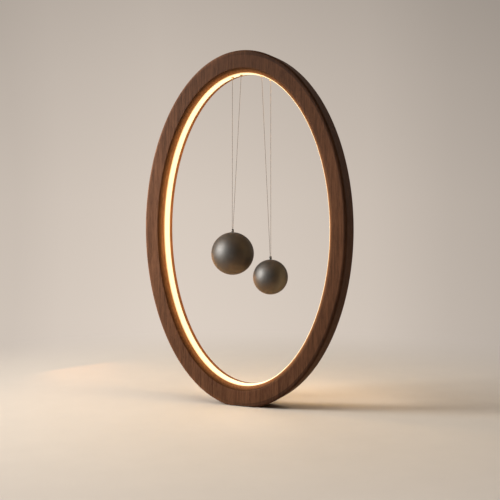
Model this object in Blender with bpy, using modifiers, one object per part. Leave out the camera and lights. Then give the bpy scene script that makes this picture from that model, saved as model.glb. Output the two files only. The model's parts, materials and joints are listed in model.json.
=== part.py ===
"""Magnetic balance lamp: an elliptical walnut ring with a light band inside it and two hanging balls.

Metres, +Z up, front towards -Y. The origin is on the table, under the middle of the foot.
The ring is two wooden halves that close on the light band, the suspension, the driver and the cells.
Each ball hangs on two threads, from beads that sit in ferrules. The small ball's ferrules ride in a
sprung yoke, which works the switch when the magnets take the ball's weight.
"""

import math

import bmesh
import bpy
from mathutils import Matrix, Vector

# Ring
HEIGHT = 0.400
HALF_WIDTH = 0.1225
DEPTH = 0.030
RIM_SIDE = 0.021
RIM_END = 0.024
FOOT_CUT = 0.0028
OUTER_EDGE = 0.0022
REAR_INNER_EDGE = 0.0015
BEVEL_WIDTH = 0.0045
BEVEL_LIP = 0.0007
EDGE_SEGMENTS = 2
STATIONS = 68

# Clearances
GAP = 0.0003
OVERRUN = 0.002
WEB = 0.002

# Facets of the round pieces
FINE_STEPS = 28
ROUND_STEPS = 14
SMALL_STEPS = 10

# Light band
GROOVE_WIDTH = 0.014
GROOVE_DEPTH = 0.005
TAPE_WIDTH = 0.0084
TAPE_THICKNESS = 0.0005
CHIP_SIZE = 0.0030
CHIP_HEIGHT = 0.0008
CHIP_SUNK = 0.0001
CHIP_COUNT = 36
DIFFUSER_THICKNESS = 0.0041
DIFFUSER_PROUD = 0.0012
DIFFUSER_ROUNDING = 0.0018

# Balls and where they hang
LARGE_X = -0.0170
LARGE_DROP = 0.2277
LARGE_RADIUS = 0.0244
SMALL_X = 0.0295
SMALL_DROP = 0.2533
SMALL_RADIUS = 0.0197
PAIR_SPACING = 0.0108

# Suspension
THREAD_RADIUS = 0.00025
THREAD_SPREAD = 0.0008
BEAD_RADIUS = 0.0010
FERRULE_RADIUS = 0.0018
FERRULE_BORE = 0.0013
FERRULE_SEAT_RADIUS = 0.00095
FERRULE_MOUTH_RADIUS = 0.00125
FERRULE_LIP = 0.0006
FERRULE_PROUD = 0.0006
FLANGE_RADIUS = 0.0026
FLANGE_THICKNESS = 0.0008
BAR_HEIGHT = 0.0040
BAR_WIDTH = 0.0090
BAR_END = 0.0035
BAR_ROUNDING = 0.0006

# Pull switch in the crown
YOKE_TRAVEL = 0.0015
ARM_THICKNESS = 0.0018
ARM_WIDTH = 0.0040
ARM_PAST_PLUNGER = 0.0020
SWITCH_LENGTH = 0.0128
SWITCH_WIDTH = 0.0058
SWITCH_HEIGHT = 0.0055
SWITCH_ROUNDING = 0.0004
SWITCH_END_ROOM = 0.0010
SWITCH_LEAD_ROOM = 0.0035
PLUNGER_RADIUS = 0.0008
PLUNGER_PROUD = 0.0018
PLUNGER_SUNK = 0.0020
PLUNGER_SHARE = 0.2
GUIDE_PIN_RADIUS = 0.0008
GUIDE_PIN_SUNK = 0.0025
GUIDE_PIN_SPARE = 0.0010
SPRING_RADIUS = 0.0019
SPRING_WIRE = 0.0002
SPRING_TURNS = 3
SPRING_TURN_POINTS = 8
SPRING_POCKET = 0.0032

# Ball fittings
NIPPLE_HEIGHT = 0.0033
NIPPLE_BASE_RADIUS = 0.0017
NIPPLE_TIP_RADIUS = 0.00135
NIPPLE_BORE_RADIUS = 0.0010
NIPPLE_BORE_DEPTH = 0.0014
NIPPLE_SOCKET_DEPTH = 0.0012
THREAD_SUNK = 0.0010
PIN_RADIUS = 0.0007
PIN_HEAD_RADIUS = 0.0022
PIN_HEAD_THICKNESS = 0.0012
MAGNET_RADIUS = 0.0050
MAGNET_LENGTH = 0.0100
PLUG_RADIUS = 0.0068
PLUG_LENGTH = 0.0070
PLUG_SLOT_WIDTH = 0.0012
PLUG_SLOT_DEPTH = 0.0014

# Wiring
LEAD_RADIUS = 0.0004
LEAD_BEND = 0.0012
LEAD_BORE = 0.0010
LEAD_Y = 0.0052
LEAD_OFFSET = 0.0040
LEAD_RISE_X = 0.0080

# Cells and ballast
CELL_RADIUS = 0.0050
CELL_LENGTH = 0.0440
CELL_CAP_RADIUS = 0.0022
CELL_CAP_HEIGHT = 0.0010
CELL_END_ROOM = 0.0030
CELL_FROM_FOOT = 0.1250
WEIGHT_NEAR = 0.0190
WEIGHT_FAR = 0.0600
WEIGHT_THICKNESS = 0.0100
WEIGHT_DEPTH = 0.0220

# Driver and charging port
BASE_FLOOR = 0.0035
LEDGE_HEIGHT = 0.0010
LEDGE_WIDTH = 0.0015
BOARD_WIDTH = 0.0280
BOARD_LENGTH = 0.0210
BOARD_BACK = 0.0120
BOARD_THICKNESS = 0.0012
BOARD_ROOM = 0.0047
PORT_WIDTH = 0.00894
PORT_HEIGHT = 0.00326
PORT_LENGTH = 0.00735
PORT_WALL = 0.0003
PORT_BACK = 0.0012
PORT_CORNER_SHARE = 0.9
TONGUE_WIDTH = 0.0065
TONGUE_HEIGHT = 0.0007
TONGUE_SHORT = 0.0010
CHIP_BODY_SIZE = 0.0050
CHIP_BODY_HEIGHT = 0.0010
CHIP_BODY_X = -0.0040
INDUCTOR_SIZE = 0.0060
INDUCTOR_HEIGHT = 0.0030
INDUCTOR_ROUNDING = 0.0008
INDUCTOR_X = 0.0035
PARTS_Y = -0.0046
TAPE_LEAD_X = 0.0010

# Foot and fasteners
PAD_PROUD = 0.0008
PAD_SUNK = 0.0008
PAD_LENGTH = 0.0360
PAD_WIDTH = 0.0260
PAD_CORNER = 0.0060
SCREW_RADIUS = 0.0015
SCREW_LENGTH = 0.0200
SCREW_HEAD_RADIUS = 0.0028
SCREW_HEAD_HEIGHT = 0.0018
SCREW_HEAD_SUNK = 0.0020
SCREW_SOCKET_RADIUS = 0.0012
SCREW_SOCKET_DEPTH = 0.0011
SCREW_ANGLES = (58, 4)
DOWEL_RADIUS = 0.0020
DOWEL_LENGTH = 0.0140
DOWEL_CHAMFER = 0.0005
DOWEL_ANGLES = (32, -14)

# Worked out from the sizes above
HALF_HEIGHT = (HEIGHT - PAD_PROUD + FOOT_CUT) / 2
CENTRE_Z = HEIGHT - HALF_HEIGHT
INNER_HALF_WIDTH = HALF_WIDTH - RIM_SIDE
INNER_HALF_HEIGHT = HALF_HEIGHT - RIM_END
FASTENER_OFFSET = GROOVE_DEPTH + (RIM_SIDE - GROOVE_DEPTH) / 2
FOOT_ANGLE = -math.pi / 2
MOUTH_TO_SEAT = FERRULE_LIP
SEAT_TO_BEAD = math.sqrt((BEAD_RADIUS + GAP) ** 2 - FERRULE_SEAT_RADIUS**2)

# Colour, roughness and metallic value of each material
PALETTE = {
    "walnut": ((0.16, 0.075, 0.045), 0.5, 0.0),
    "opal_silicone": ((1.0, 0.86, 0.62), 0.4, 0.0),
    "tape": ((0.85, 0.83, 0.76), 0.5, 0.0),
    "bronzed_aluminium": ((0.095, 0.085, 0.075), 0.38, 0.9),
    "thread": ((0.30, 0.20, 0.14), 0.8, 0.0),
    "opal_nylon": ((0.88, 0.84, 0.76), 0.45, 0.0),
    "steel": ((0.55, 0.55, 0.55), 0.35, 1.0),
    "magnet": ((0.62, 0.62, 0.64), 0.25, 1.0),
    "black_plastic": ((0.03, 0.03, 0.03), 0.5, 0.0),
    "red_plastic": ((0.45, 0.05, 0.04), 0.45, 0.0),
    "insulated_wire": ((0.55, 0.10, 0.06), 0.45, 0.0),
    "board_green": ((0.03, 0.16, 0.07), 0.45, 0.0),
    "cell_wrap": ((0.10, 0.22, 0.42), 0.35, 0.0),
    "rubber": ((0.03, 0.03, 0.03), 0.85, 0.0),
    "beech": ((0.62, 0.46, 0.30), 0.6, 0.0),
}


def clear_scene():
    for thing in list(bpy.data.objects):
        bpy.data.objects.remove(thing, do_unlink=True)


def new_collection(name):
    collection = bpy.data.collections.new(name)
    bpy.context.scene.collection.children.link(collection)
    return collection


clear_scene()
LAMP = new_collection("magnetic_balance_lamp")
CUTTERS = new_collection("cutters")
CUTTERS.hide_render = True


def paint(thing, name):
    material = bpy.data.materials.get(name)
    if material is None:
        colour, roughness, metallic = PALETTE[name]
        material = bpy.data.materials.new(name)
        material.use_nodes = True
        shader = material.node_tree.nodes["Principled BSDF"]
        shader.inputs["Base Color"].default_value = (*colour, 1)
        shader.inputs["Roughness"].default_value = roughness
        shader.inputs["Metallic"].default_value = metallic
        material.diffuse_color = (*colour, 1)
    thing.data.materials.clear()
    thing.data.materials.append(material)
    return thing


def from_bmesh(name, shape):
    bmesh.ops.recalc_face_normals(shape, faces=shape.faces)
    mesh = bpy.data.meshes.new(name)
    shape.to_mesh(mesh)
    shape.free()
    thing = bpy.data.objects.new(name, mesh)
    LAMP.objects.link(thing)
    return thing


def block(name, low, high):
    low, high = Vector(low), Vector(high)
    shape = bmesh.new()
    place = Matrix.Translation((low + high) / 2) @ Matrix.Diagonal((*(high - low), 1))
    bmesh.ops.create_cube(shape, size=1, matrix=place)
    return from_bmesh(name, shape)


def rod(name, start, end, radius, sides=SMALL_STEPS):
    start, end = Vector(start), Vector(end)
    along = end - start
    turn = along.to_track_quat("Z", "Y").to_matrix().to_4x4()
    shape = bmesh.new()
    bmesh.ops.create_cone(
        shape, cap_ends=True, segments=sides, radius1=radius, radius2=radius,
        depth=along.length, matrix=Matrix.Translation((start + end) / 2) @ turn,
    )
    return from_bmesh(name, shape)


def ball(name, centre, radius, segments):
    shape = bmesh.new()
    bmesh.ops.create_uvsphere(
        shape, u_segments=segments, v_segments=segments // 2, radius=radius,
        matrix=Matrix.Translation(centre),
    )
    return from_bmesh(name, shape)


def turned(name, profile, place, steps, hollow=False):
    """A profile of (radius, height) points, outer side top to bottom, turned round the local Z axis."""
    mesh = bpy.data.meshes.new(name)
    edges = [(i, i + 1) for i in range(len(profile) - 1)]
    if hollow:
        edges.append((len(profile) - 1, 0))
    mesh.from_pydata([(radius, 0, height) for radius, height in profile], edges, [])
    thing = bpy.data.objects.new(name, mesh)
    LAMP.objects.link(thing)
    thing.matrix_world = place
    screw = thing.modifiers.new("turn", "SCREW")
    screw.steps = screw.render_steps = steps
    screw.use_merge_vertices = True
    screw.merge_threshold = 0.00001
    return thing


def tube(name, points, radius, resolution=1):
    curve = bpy.data.curves.new(name, "CURVE")
    curve.dimensions = "3D"
    curve.bevel_depth = radius
    curve.bevel_resolution = resolution
    curve.use_fill_caps = True
    spline = curve.splines.new("POLY")
    spline.points.add(len(points) - 1)
    for spot, point in zip(spline.points, points):
        spot.co = (*point, 1)
    thing = bpy.data.objects.new(name, curve)
    LAMP.objects.link(thing)
    return thing


def round_edges(thing, width, segments=2):
    bevel = thing.modifiers.new("rounding", "BEVEL")
    bevel.width = width
    bevel.segments = segments
    bevel.limit_method = "ANGLE"
    bevel.angle_limit = math.radians(40)
    return thing


def as_cutter(thing, collection=None):
    LAMP.objects.unlink(thing)
    (collection or CUTTERS).objects.link(thing)
    thing.hide_render = True
    thing.display_type = "WIRE"
    return thing


def boolean(thing, other, operation="DIFFERENCE"):
    modifier = thing.modifiers.new(other.name, "BOOLEAN")
    modifier.operation = operation
    modifier.solver = "EXACT"
    modifier.object = as_cutter(other)
    return thing


def cut_by_all(thing, collection):
    modifier = thing.modifiers.new(collection.name, "BOOLEAN")
    modifier.operation = "DIFFERENCE"
    modifier.solver = "EXACT"
    modifier.operand_type = "COLLECTION"
    modifier.collection = collection
    return thing


def ring_axes(offset):
    """Half width and half height of the opening's ellipse, moved into the wood by offset."""
    return INNER_HALF_WIDTH + offset, INNER_HALF_HEIGHT + offset


def ring_point(offset, angle, y=0):
    half_width, half_height = ring_axes(offset)
    return Vector((half_width * math.cos(angle), y, CENTRE_Z + half_height * math.sin(angle)))


def ring_tangent(offset, angle):
    half_width, half_height = ring_axes(offset)
    return Vector((-half_width * math.sin(angle), 0, half_height * math.cos(angle))).normalized()


def crown_z(x, offset):
    half_width, half_height = ring_axes(offset)
    return CENTRE_Z + half_height * math.sqrt(1 - (x / half_width) ** 2)


def angle_after(offset, start, distance, steps=2000):
    """The ellipse angle that lies that far along the ring from start, anticlockwise from the front."""
    half_width, half_height = ring_axes(offset)
    angle, gone, step = start, 0.0, 2 * math.pi / steps
    while gone < distance:
        speed = math.hypot(half_width * math.sin(angle), half_height * math.cos(angle))
        share = min(1.0, (distance - gone) / (speed * step))
        gone += speed * step
        angle += step * share
    return angle


def ring_length(offset, steps=2000):
    half_width, half_height = ring_axes(offset)
    turns = [2 * math.pi * i / steps for i in range(steps)]
    return sum(math.hypot(half_width * math.sin(t), half_height * math.cos(t)) for t in turns) * turns[1]


def flat_ring(name, inner, outer, front, back, rounding=0):
    """An elliptical band: two loops bridged into a flat ring, then drawn out along Y.

    A rounding is cut on the two edges towards the opening.
    """
    shape = bmesh.new()
    for half_width, half_height in (inner, outer):
        place = (
            Matrix.Translation((0, front, CENTRE_Z))
            @ Matrix.Rotation(math.pi / 2, 4, "X")
            @ Matrix.Diagonal((half_width, half_height, 1, 1))
        )
        bmesh.ops.create_circle(shape, segments=STATIONS, radius=1, matrix=place)
    bmesh.ops.bridge_loops(shape, edges=shape.edges)
    drawn = bmesh.ops.extrude_face_region(shape, geom=shape.faces[:])["geom"]
    moved = [part for part in drawn if isinstance(part, bmesh.types.BMVert)]
    bmesh.ops.translate(shape, verts=moved, vec=(0, back - front, 0))
    if rounding:
        between = [(inner[i] + outer[i]) / 2 for i in range(2)]

        def is_inside(vert):
            return math.hypot(vert.co.x / between[0], (vert.co.z - CENTRE_Z) / between[1]) < 1

        edges = [
            edge for edge in shape.edges
            if all(map(is_inside, edge.verts)) and edge.verts[0].co.y == edge.verts[1].co.y
        ]
        bmesh.ops.bevel(
            shape, geom=edges, offset=rounding, segments=EDGE_SEGMENTS, profile=0.5, affect="EDGES",
        )
    return from_bmesh(name, shape)


def quarter(radius, segments):
    """Points of a quarter circle, from (0, radius) to (radius, 0)."""
    turns = [math.pi / 2 * i / segments for i in range(segments + 1)]
    return [(radius * math.sin(turn), radius * math.cos(turn)) for turn in turns]


def swept_ring(name, outline):
    """A closed section of (half width, half height, y) points, carried round the ring."""
    shape = bmesh.new()
    rows = []
    for i in range(STATIONS):
        turn = 2 * math.pi * i / STATIONS
        rows.append([
            shape.verts.new((half_width * math.cos(turn), y, CENTRE_Z + half_height * math.sin(turn)))
            for half_width, half_height, y in outline
        ])
    for row, after in zip(rows, rows[1:] + rows[:1]):
        for j in range(len(outline)):
            k = (j + 1) % len(outline)
            shape.faces.new((row[j], row[k], after[k], after[j]))
    return from_bmesh(name, shape)


def rounded_route(corners, bend, arc_points=3):
    """The corner points with each sharp corner turned into a short curve."""
    route = [Vector(corners[0])]
    for before, corner, after in zip(corners, corners[1:], corners[2:]):
        before, corner, after = Vector(before), Vector(corner), Vector(after)
        reach = min(bend, (corner - before).length / 3, (after - corner).length / 3)
        enter = corner + (before - corner).normalized() * reach
        leave = corner + (after - corner).normalized() * reach
        for i in range(arc_points + 1):
            share = i / arc_points
            route.append(enter.lerp(corner, share).lerp(corner.lerp(leave, share), share))
    route.append(Vector(corners[-1]))
    return route


class Suspension:
    """Where one ball, its two threads and their beads are."""

    def __init__(self, name, x, drop, radius, inward):
        self.name = name
        self.radius = radius
        self.inward = inward
        self.centre = Vector((x, 0, HEIGHT - drop))
        self.outer_x = x
        self.inner_x = x + inward * PAIR_SPACING
        self.nipple_base = self.centre.z + radius + GAP
        self.nipple_tip = self.nipple_base + NIPPLE_HEIGHT
        self.thread_end = self.nipple_tip - THREAD_SUNK
        self.outer_bead = self.bead_at(self.outer_x)
        self.inner_bead = self.bead_at(self.inner_x)
        near = self.inner_x + inward * BAR_END
        self.bar_low_x = min(near, self.outer_x - inward * BAR_END)
        self.bar_high_x = max(near, self.outer_x - inward * BAR_END)
        closest = min(abs(self.bar_low_x), abs(self.bar_high_x))
        self.pocket_floor = crown_z(closest, GROOVE_DEPTH) + WEB
        self.bar_low = self.pocket_floor + GAP
        self.bar_high = self.bar_low + BAR_HEIGHT
        self.flange_low = self.bar_high + GAP
        self.pocket_top = self.flange_low + FLANGE_THICKNESS + GAP

    def mouth_at(self, x):
        return crown_z(x, -DIFFUSER_PROUD) - FERRULE_PROUD

    def bead_at(self, x):
        return Vector((x, 0, self.mouth_at(x) + MOUTH_TO_SEAT + SEAT_TO_BEAD))


LARGE = Suspension("large", LARGE_X, LARGE_DROP, LARGE_RADIUS, 1)
SMALL = Suspension("small", SMALL_X, SMALL_DROP, SMALL_RADIUS, -1)
BOTH = (LARGE, SMALL)

SWITCH_X = (LARGE.bar_high_x + SMALL.bar_low_x) / 2
ARM_HIGH = SMALL.bar_high
PLUNGER_TIP = ARM_HIGH + GAP
SWITCH_LOW = PLUNGER_TIP + PLUNGER_PROUD
SWITCH_TOP = SWITCH_LOW + SWITCH_HEIGHT
PLUNGER_X = SWITCH_X + PLUNGER_SHARE * SWITCH_LENGTH
SPRING_X = (SMALL.outer_x + SMALL.inner_x) / 2
CELL_OFFSET = GROOVE_DEPTH + WEB + GAP + CELL_RADIUS
CELL_ANGLE = angle_after(CELL_OFFSET, FOOT_ANGLE, CELL_FROM_FOOT)
CELL_LOW_END = CELL_FROM_FOOT - CELL_LENGTH / 2 - CELL_END_ROOM

# The lowest screws stand halfway between the ends of the weights and of the cells' pockets
WEIGHT_END_ANGLE = -math.acos(WEIGHT_FAR / ring_axes(FASTENER_OFFSET)[0])
CELL_END_ANGLE = angle_after(CELL_OFFSET, FOOT_ANGLE, CELL_LOW_END)
LOW_SCREW_ANGLE = math.degrees((WEIGHT_END_ANGLE + CELL_END_ANGLE) / 2)
WEIGHT_OFFSET = GROOVE_DEPTH + WEB + GAP
FLOOR_Z = PAD_PROUD + BASE_FLOOR
LEDGE_Z = FLOOR_Z + LEDGE_HEIGHT
BOARD_LOW = LEDGE_Z + GAP
BOARD_TOP = BOARD_LOW + BOARD_THICKNESS
BASE_ROOF = BOARD_TOP + BOARD_ROOM
PORT_Z = BOARD_TOP + GAP + PORT_HEIGHT / 2
PORT_MOUTH = DEPTH / 2 - GAP
BOARD_FRONT = BOARD_BACK - BOARD_LENGTH
GROOVE_FLOOR_Z = CENTRE_Z - INNER_HALF_HEIGHT - GROOVE_DEPTH
SWITCH_LEAD_X = SWITCH_X - SWITCH_LENGTH / 4


def both_sides(angles):
    """The given angles on the right of the ring, and the same ones mirrored to the left."""
    right = [math.radians(angle) for angle in angles]
    return right + [math.pi - angle for angle in right]


def cell_frame(side):
    """The place of a cell: its local Z runs up the ring."""
    centre = ring_point(CELL_OFFSET, CELL_ANGLE)
    along = ring_tangent(CELL_OFFSET, CELL_ANGLE)
    centre.x *= side
    along.x *= side
    turn = along.to_track_quat("Z", "Y").to_matrix().to_4x4()
    return Matrix.Translation(centre) @ turn


def pocket_cutters():
    """Everything that both wooden halves are hollowed by."""
    pockets = new_collection("pockets")
    pockets.hide_render = True

    def add(thing):
        as_cutter(thing, pockets)

    half_groove = GROOVE_WIDTH / 2
    add(flat_ring("groove", ring_axes(-OVERRUN), ring_axes(GROOVE_DEPTH), -half_groove, half_groove))
    bar_half = BAR_WIDTH / 2 + GAP
    for hung in BOTH:
        top = hung.pocket_top + (YOKE_TRAVEL if hung is SMALL else 0)
        add(block(
            hung.name + "_bar_pocket",
            (hung.bar_low_x - GAP, -bar_half, hung.pocket_floor),
            (hung.bar_high_x + GAP, bar_half, top),
        ))
        for x in (hung.outer_x, hung.inner_x):
            low = (x, 0, crown_z(x, 0))
            high = (x, 0, hung.pocket_floor + OVERRUN)
            add(rod(hung.name + "_ferrule_bore", low, high, FERRULE_RADIUS + GAP))
    add(block(
        "switch_pocket",
        (SWITCH_X - SWITCH_LENGTH / 2 - SWITCH_END_ROOM, -SWITCH_WIDTH / 2 - GAP,
         ARM_HIGH - ARM_THICKNESS - GAP),
        (SMALL.bar_low_x + OVERRUN, SWITCH_WIDTH / 2 + SWITCH_LEAD_ROOM, SWITCH_TOP + GAP),
    ))
    add(rod(
        "guide_pin_bore",
        (SPRING_X, 0, SMALL.pocket_floor - GUIDE_PIN_SUNK - GAP),
        (SPRING_X, 0, SMALL.pocket_floor + OVERRUN),
        GUIDE_PIN_RADIUS + GAP,
    ))
    add(rod(
        "switch_lead_bore",
        (SWITCH_LEAD_X, LEAD_Y, crown_z(SWITCH_LEAD_X, GROOVE_DEPTH - OVERRUN)),
        (SWITCH_LEAD_X, LEAD_Y, SWITCH_LOW),
        LEAD_BORE,
    ))
    for side in (1, -1):
        frame = cell_frame(side)
        half = CELL_LENGTH / 2 + CELL_CAP_HEIGHT + CELL_END_ROOM
        ends = [frame @ Vector((0, 0, end)) for end in (-half, half)]
        add(rod("cell_pocket", *ends, CELL_RADIUS + GAP, ROUND_STEPS))
        add(rod("cell_lead_bore", *cell_bore(side), LEAD_BORE))
        add(weight("weight_pocket", side, GAP))
        rise = (side * LEAD_RISE_X, -LEAD_Y)
        add(rod(
            "board_lead_bore", (*rise, BASE_ROOF - OVERRUN), (*rise, GROOVE_FLOOR_Z + OVERRUN), LEAD_BORE,
        ))
    rise = (-LEAD_RISE_X, LEAD_Y)
    add(rod(
        "board_switch_lead_bore", (*rise, BASE_ROOF - OVERRUN), (*rise, GROOVE_FLOOR_Z + OVERRUN), LEAD_BORE,
    ))
    rise = (TAPE_LEAD_X, 0)
    add(rod("tape_lead_bore", (*rise, BASE_ROOF - OVERRUN), (*rise, GROOVE_FLOOR_Z + OVERRUN), LEAD_BORE))
    half_x, front, back = BOARD_WIDTH / 2 + GAP, BOARD_FRONT - GAP, BOARD_BACK + GAP
    add(block("board_pocket", (-half_x, front, LEDGE_Z), (half_x, back, BASE_ROOF)))
    add(block(
        "board_well",
        (-half_x + LEDGE_WIDTH, front, FLOOR_Z),
        (half_x - LEDGE_WIDTH, back, LEDGE_Z + OVERRUN),
    ))
    pad_x, pad_y = PAD_LENGTH / 2 + GAP, PAD_WIDTH / 2 + GAP
    pad_top = PAD_PROUD + PAD_SUNK + GAP
    add(rounded_plate("pad_recess", pad_x, pad_y, PAD_PROUD - OVERRUN, pad_top, PAD_CORNER))
    for angle in both_sides(DOWEL_ANGLES):
        spot = ring_point(FASTENER_OFFSET, angle)
        reach = Vector((0, DOWEL_LENGTH / 2 + GAP, 0))
        add(rod("dowel_bore", spot - reach, spot + reach, DOWEL_RADIUS + GAP))
    for angle in both_sides((*SCREW_ANGLES, LOW_SCREW_ANGLE)):
        spot = ring_point(FASTENER_OFFSET, angle)
        seat = DEPTH / 2 - SCREW_HEAD_SUNK - SCREW_HEAD_HEIGHT
        tip = seat - SCREW_LENGTH - GAP
        spot.y = tip
        end = ring_point(FASTENER_OFFSET, angle, seat + OVERRUN)
        add(rod("screw_bore", spot, end, SCREW_RADIUS + GAP))
        low = ring_point(FASTENER_OFFSET, angle, seat - GAP)
        high = ring_point(FASTENER_OFFSET, angle, DEPTH / 2 + OVERRUN)
        add(rod("screw_counterbore", low, high, SCREW_HEAD_RADIUS + GAP, ROUND_STEPS))
    half_x, half_z = PORT_WIDTH / 2 + GAP, PORT_HEIGHT / 2 + GAP
    add(rounded_slab("port_slot", half_x, half_z, 0, DEPTH / 2 + OVERRUN, half_z * PORT_CORNER_SHARE))
    return pockets


def rounded_plate(name, half_x, half_y, low, high, corner):
    """A flat plate whose four upright edges are rounded."""
    plate = block(name, (-half_x, -half_y, low), (half_x, half_y, high))
    return round_along(plate, 2, corner)


def rounded_slab(name, half_x, half_z, front, back, corner):
    """A slab round the charging port's middle whose four edges along Y are rounded."""
    slab = block(name, (-half_x, front, PORT_Z - half_z), (half_x, back, PORT_Z + half_z))
    return round_along(slab, 1, corner)


def round_along(thing, axis, radius, segments=5):
    """Rounds the edges of a block that run along one axis."""
    shape = bmesh.new()
    shape.from_mesh(thing.data)
    others = [i for i in range(3) if i != axis]

    def runs_along(edge):
        start, end = edge.verts[0].co, edge.verts[1].co
        return all(abs(start[i] - end[i]) < abs(start[axis] - end[axis]) for i in others)

    edges = [edge for edge in shape.edges if runs_along(edge)]
    bmesh.ops.bevel(
        shape, geom=edges, offset=radius, segments=segments, profile=0.5, affect="EDGES",
    )
    bmesh.ops.recalc_face_normals(shape, faces=shape.faces)
    shape.to_mesh(thing.data)
    shape.free()
    return thing


def half_outline(side):
    """A wooden half's section, without its groove, as (half width, half height, y) points.

    Towards the opening the front half has a wide bevel from its face down to the groove, and the
    rear half has a small rounding.
    """
    face = DEPTH / 2
    if side < 0:
        inside = [(0, GROOVE_WIDTH / 2 + BEVEL_LIP), (BEVEL_WIDTH, face)]
    else:
        edge = REAR_INNER_EDGE
        inside = [(edge - y, face - edge + x) for x, y in quarter(edge, EDGE_SEGMENTS)]
    rounding = quarter(OUTER_EDGE, EDGE_SEGMENTS)
    outside = [(x - OUTER_EDGE, face - OUTER_EDGE + y) for x, y in rounding]
    inside.insert(0, (0, GAP / 2))
    outside.append((0, GAP / 2))
    points = [(*ring_axes(offset), side * y) for offset, y in inside]
    points += [(HALF_WIDTH + offset, HALF_HEIGHT + offset, side * y) for offset, y in outside]
    return points


def wooden_half(name, side, pockets):
    """The front half for side -1, the rear half for side 1, with the foot cut flat."""
    ring = swept_ring(name, half_outline(side))
    room = HALF_WIDTH + OVERRUN
    deep = DEPTH / 2 + OVERRUN
    space = block(name + "_space", (-room, -deep, PAD_PROUD), (room, deep, HEIGHT + OVERRUN))
    boolean(ring, space, "INTERSECT")
    cut_by_all(ring, pockets)
    return paint(ring, "walnut")


def light_band():
    """The tape with its chips, and the opal band over it."""
    floor = GROOVE_DEPTH - GAP
    inside = floor - TAPE_THICKNESS
    half = TAPE_WIDTH / 2
    tape = flat_ring("led_tape", ring_axes(inside), ring_axes(floor), -half, half)
    middle = (LARGE.outer_x + LARGE.inner_x) / 2
    start = math.acos(middle / ring_axes(inside)[0])
    pitch = ring_length(inside) / CHIP_COUNT
    shape = bmesh.new()
    angle = start
    for _ in range(CHIP_COUNT):
        tangent = ring_tangent(inside, angle)
        outward = Vector((tangent.z, 0, -tangent.x))
        centre = ring_point(inside, angle) - outward * (CHIP_HEIGHT / 2 - CHIP_SUNK)
        turn = Matrix((tangent, (0, 1, 0), outward)).transposed().to_4x4()
        size = Matrix.Diagonal((CHIP_SIZE, CHIP_SIZE, CHIP_HEIGHT, 1))
        bmesh.ops.create_cube(shape, size=1, matrix=Matrix.Translation(centre) @ turn @ size)
        angle = angle_after(inside, angle, pitch)
    boolean(tape, from_bmesh("chips", shape), "UNION")
    back = GROOVE_DEPTH - GAP - TAPE_THICKNESS - CHIP_HEIGHT - GAP
    inner = -DIFFUSER_PROUD
    outer = min(back, inner + DIFFUSER_THICKNESS)
    half = GROOVE_WIDTH / 2 - GAP
    diffuser = flat_ring("diffuser", ring_axes(inner), ring_axes(outer), -half, half, DIFFUSER_ROUNDING)
    for hung in BOTH:
        for x in (hung.outer_x, hung.inner_x):
            for thing in (tape, diffuser):
                low = (x, 0, hung.mouth_at(x) - OVERRUN)
                high = (x, 0, crown_z(x, GROOVE_DEPTH) + OVERRUN)
                hole = rod(thing.name + "_hole", low, high, FERRULE_RADIUS + GAP)
                boolean(thing, hole)
    paint(tape, "tape")
    paint(diffuser, "opal_silicone")


def ferrule(name, hung, x):
    """A tube with a seat for the bead at its mouth and a flange that rests on the bar."""
    mouth = hung.mouth_at(x)
    seat = MOUTH_TO_SEAT
    top = hung.flange_low + FLANGE_THICKNESS - mouth
    profile = [
        (FLANGE_RADIUS, top),
        (FLANGE_RADIUS, top - FLANGE_THICKNESS),
        (FERRULE_RADIUS, top - FLANGE_THICKNESS),
        (FERRULE_RADIUS, 0),
        (FERRULE_MOUTH_RADIUS, 0),
        (FERRULE_SEAT_RADIUS, seat),
        (FERRULE_BORE, seat + (FERRULE_BORE - FERRULE_SEAT_RADIUS)),
        (FERRULE_BORE, top),
    ]
    body = turned(name, profile, Matrix.Translation((x, 0, mouth)), SMALL_STEPS, hollow=True)
    return paint(body, "opal_nylon")


def bar(name, hung):
    """The block that carries a ball's two ferrules."""
    half = BAR_WIDTH / 2
    body = block(
        name,
        (hung.bar_low_x, -half, hung.bar_low),
        (hung.bar_high_x, half, hung.bar_high),
    )
    round_along(body, 2, BAR_ROUNDING, 2)
    for x in (hung.outer_x, hung.inner_x):
        low, high = (x, 0, hung.bar_low - OVERRUN), (x, 0, hung.bar_high + OVERRUN)
        boolean(body, rod(name + "_bore", low, high, FERRULE_RADIUS + GAP))
    return body


def pull_yoke():
    """The small ball's bar, with an arm that reaches under the switch's plunger."""
    yoke = bar("pull_yoke", SMALL)
    arm = block(
        "yoke_arm",
        (PLUNGER_X - ARM_PAST_PLUNGER, -ARM_WIDTH / 2, ARM_HIGH - ARM_THICKNESS),
        (SMALL.bar_low_x + (BAR_END - FERRULE_RADIUS - GAP) / 2, ARM_WIDTH / 2, ARM_HIGH),
    )
    boolean(yoke, arm, "UNION")
    low = (SPRING_X, 0, SMALL.bar_low - OVERRUN)
    ceiling = (SPRING_X, 0, SMALL.bar_low + SPRING_POCKET)
    boolean(yoke, rod("spring_pocket", low, ceiling, SPRING_RADIUS + SPRING_WIRE + 2 * GAP, ROUND_STEPS))
    high = (SPRING_X, 0, SMALL.bar_high + OVERRUN)
    boolean(yoke, rod("pin_hole", low, high, GUIDE_PIN_RADIUS + GAP))
    return paint(yoke, "opal_nylon")


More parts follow.
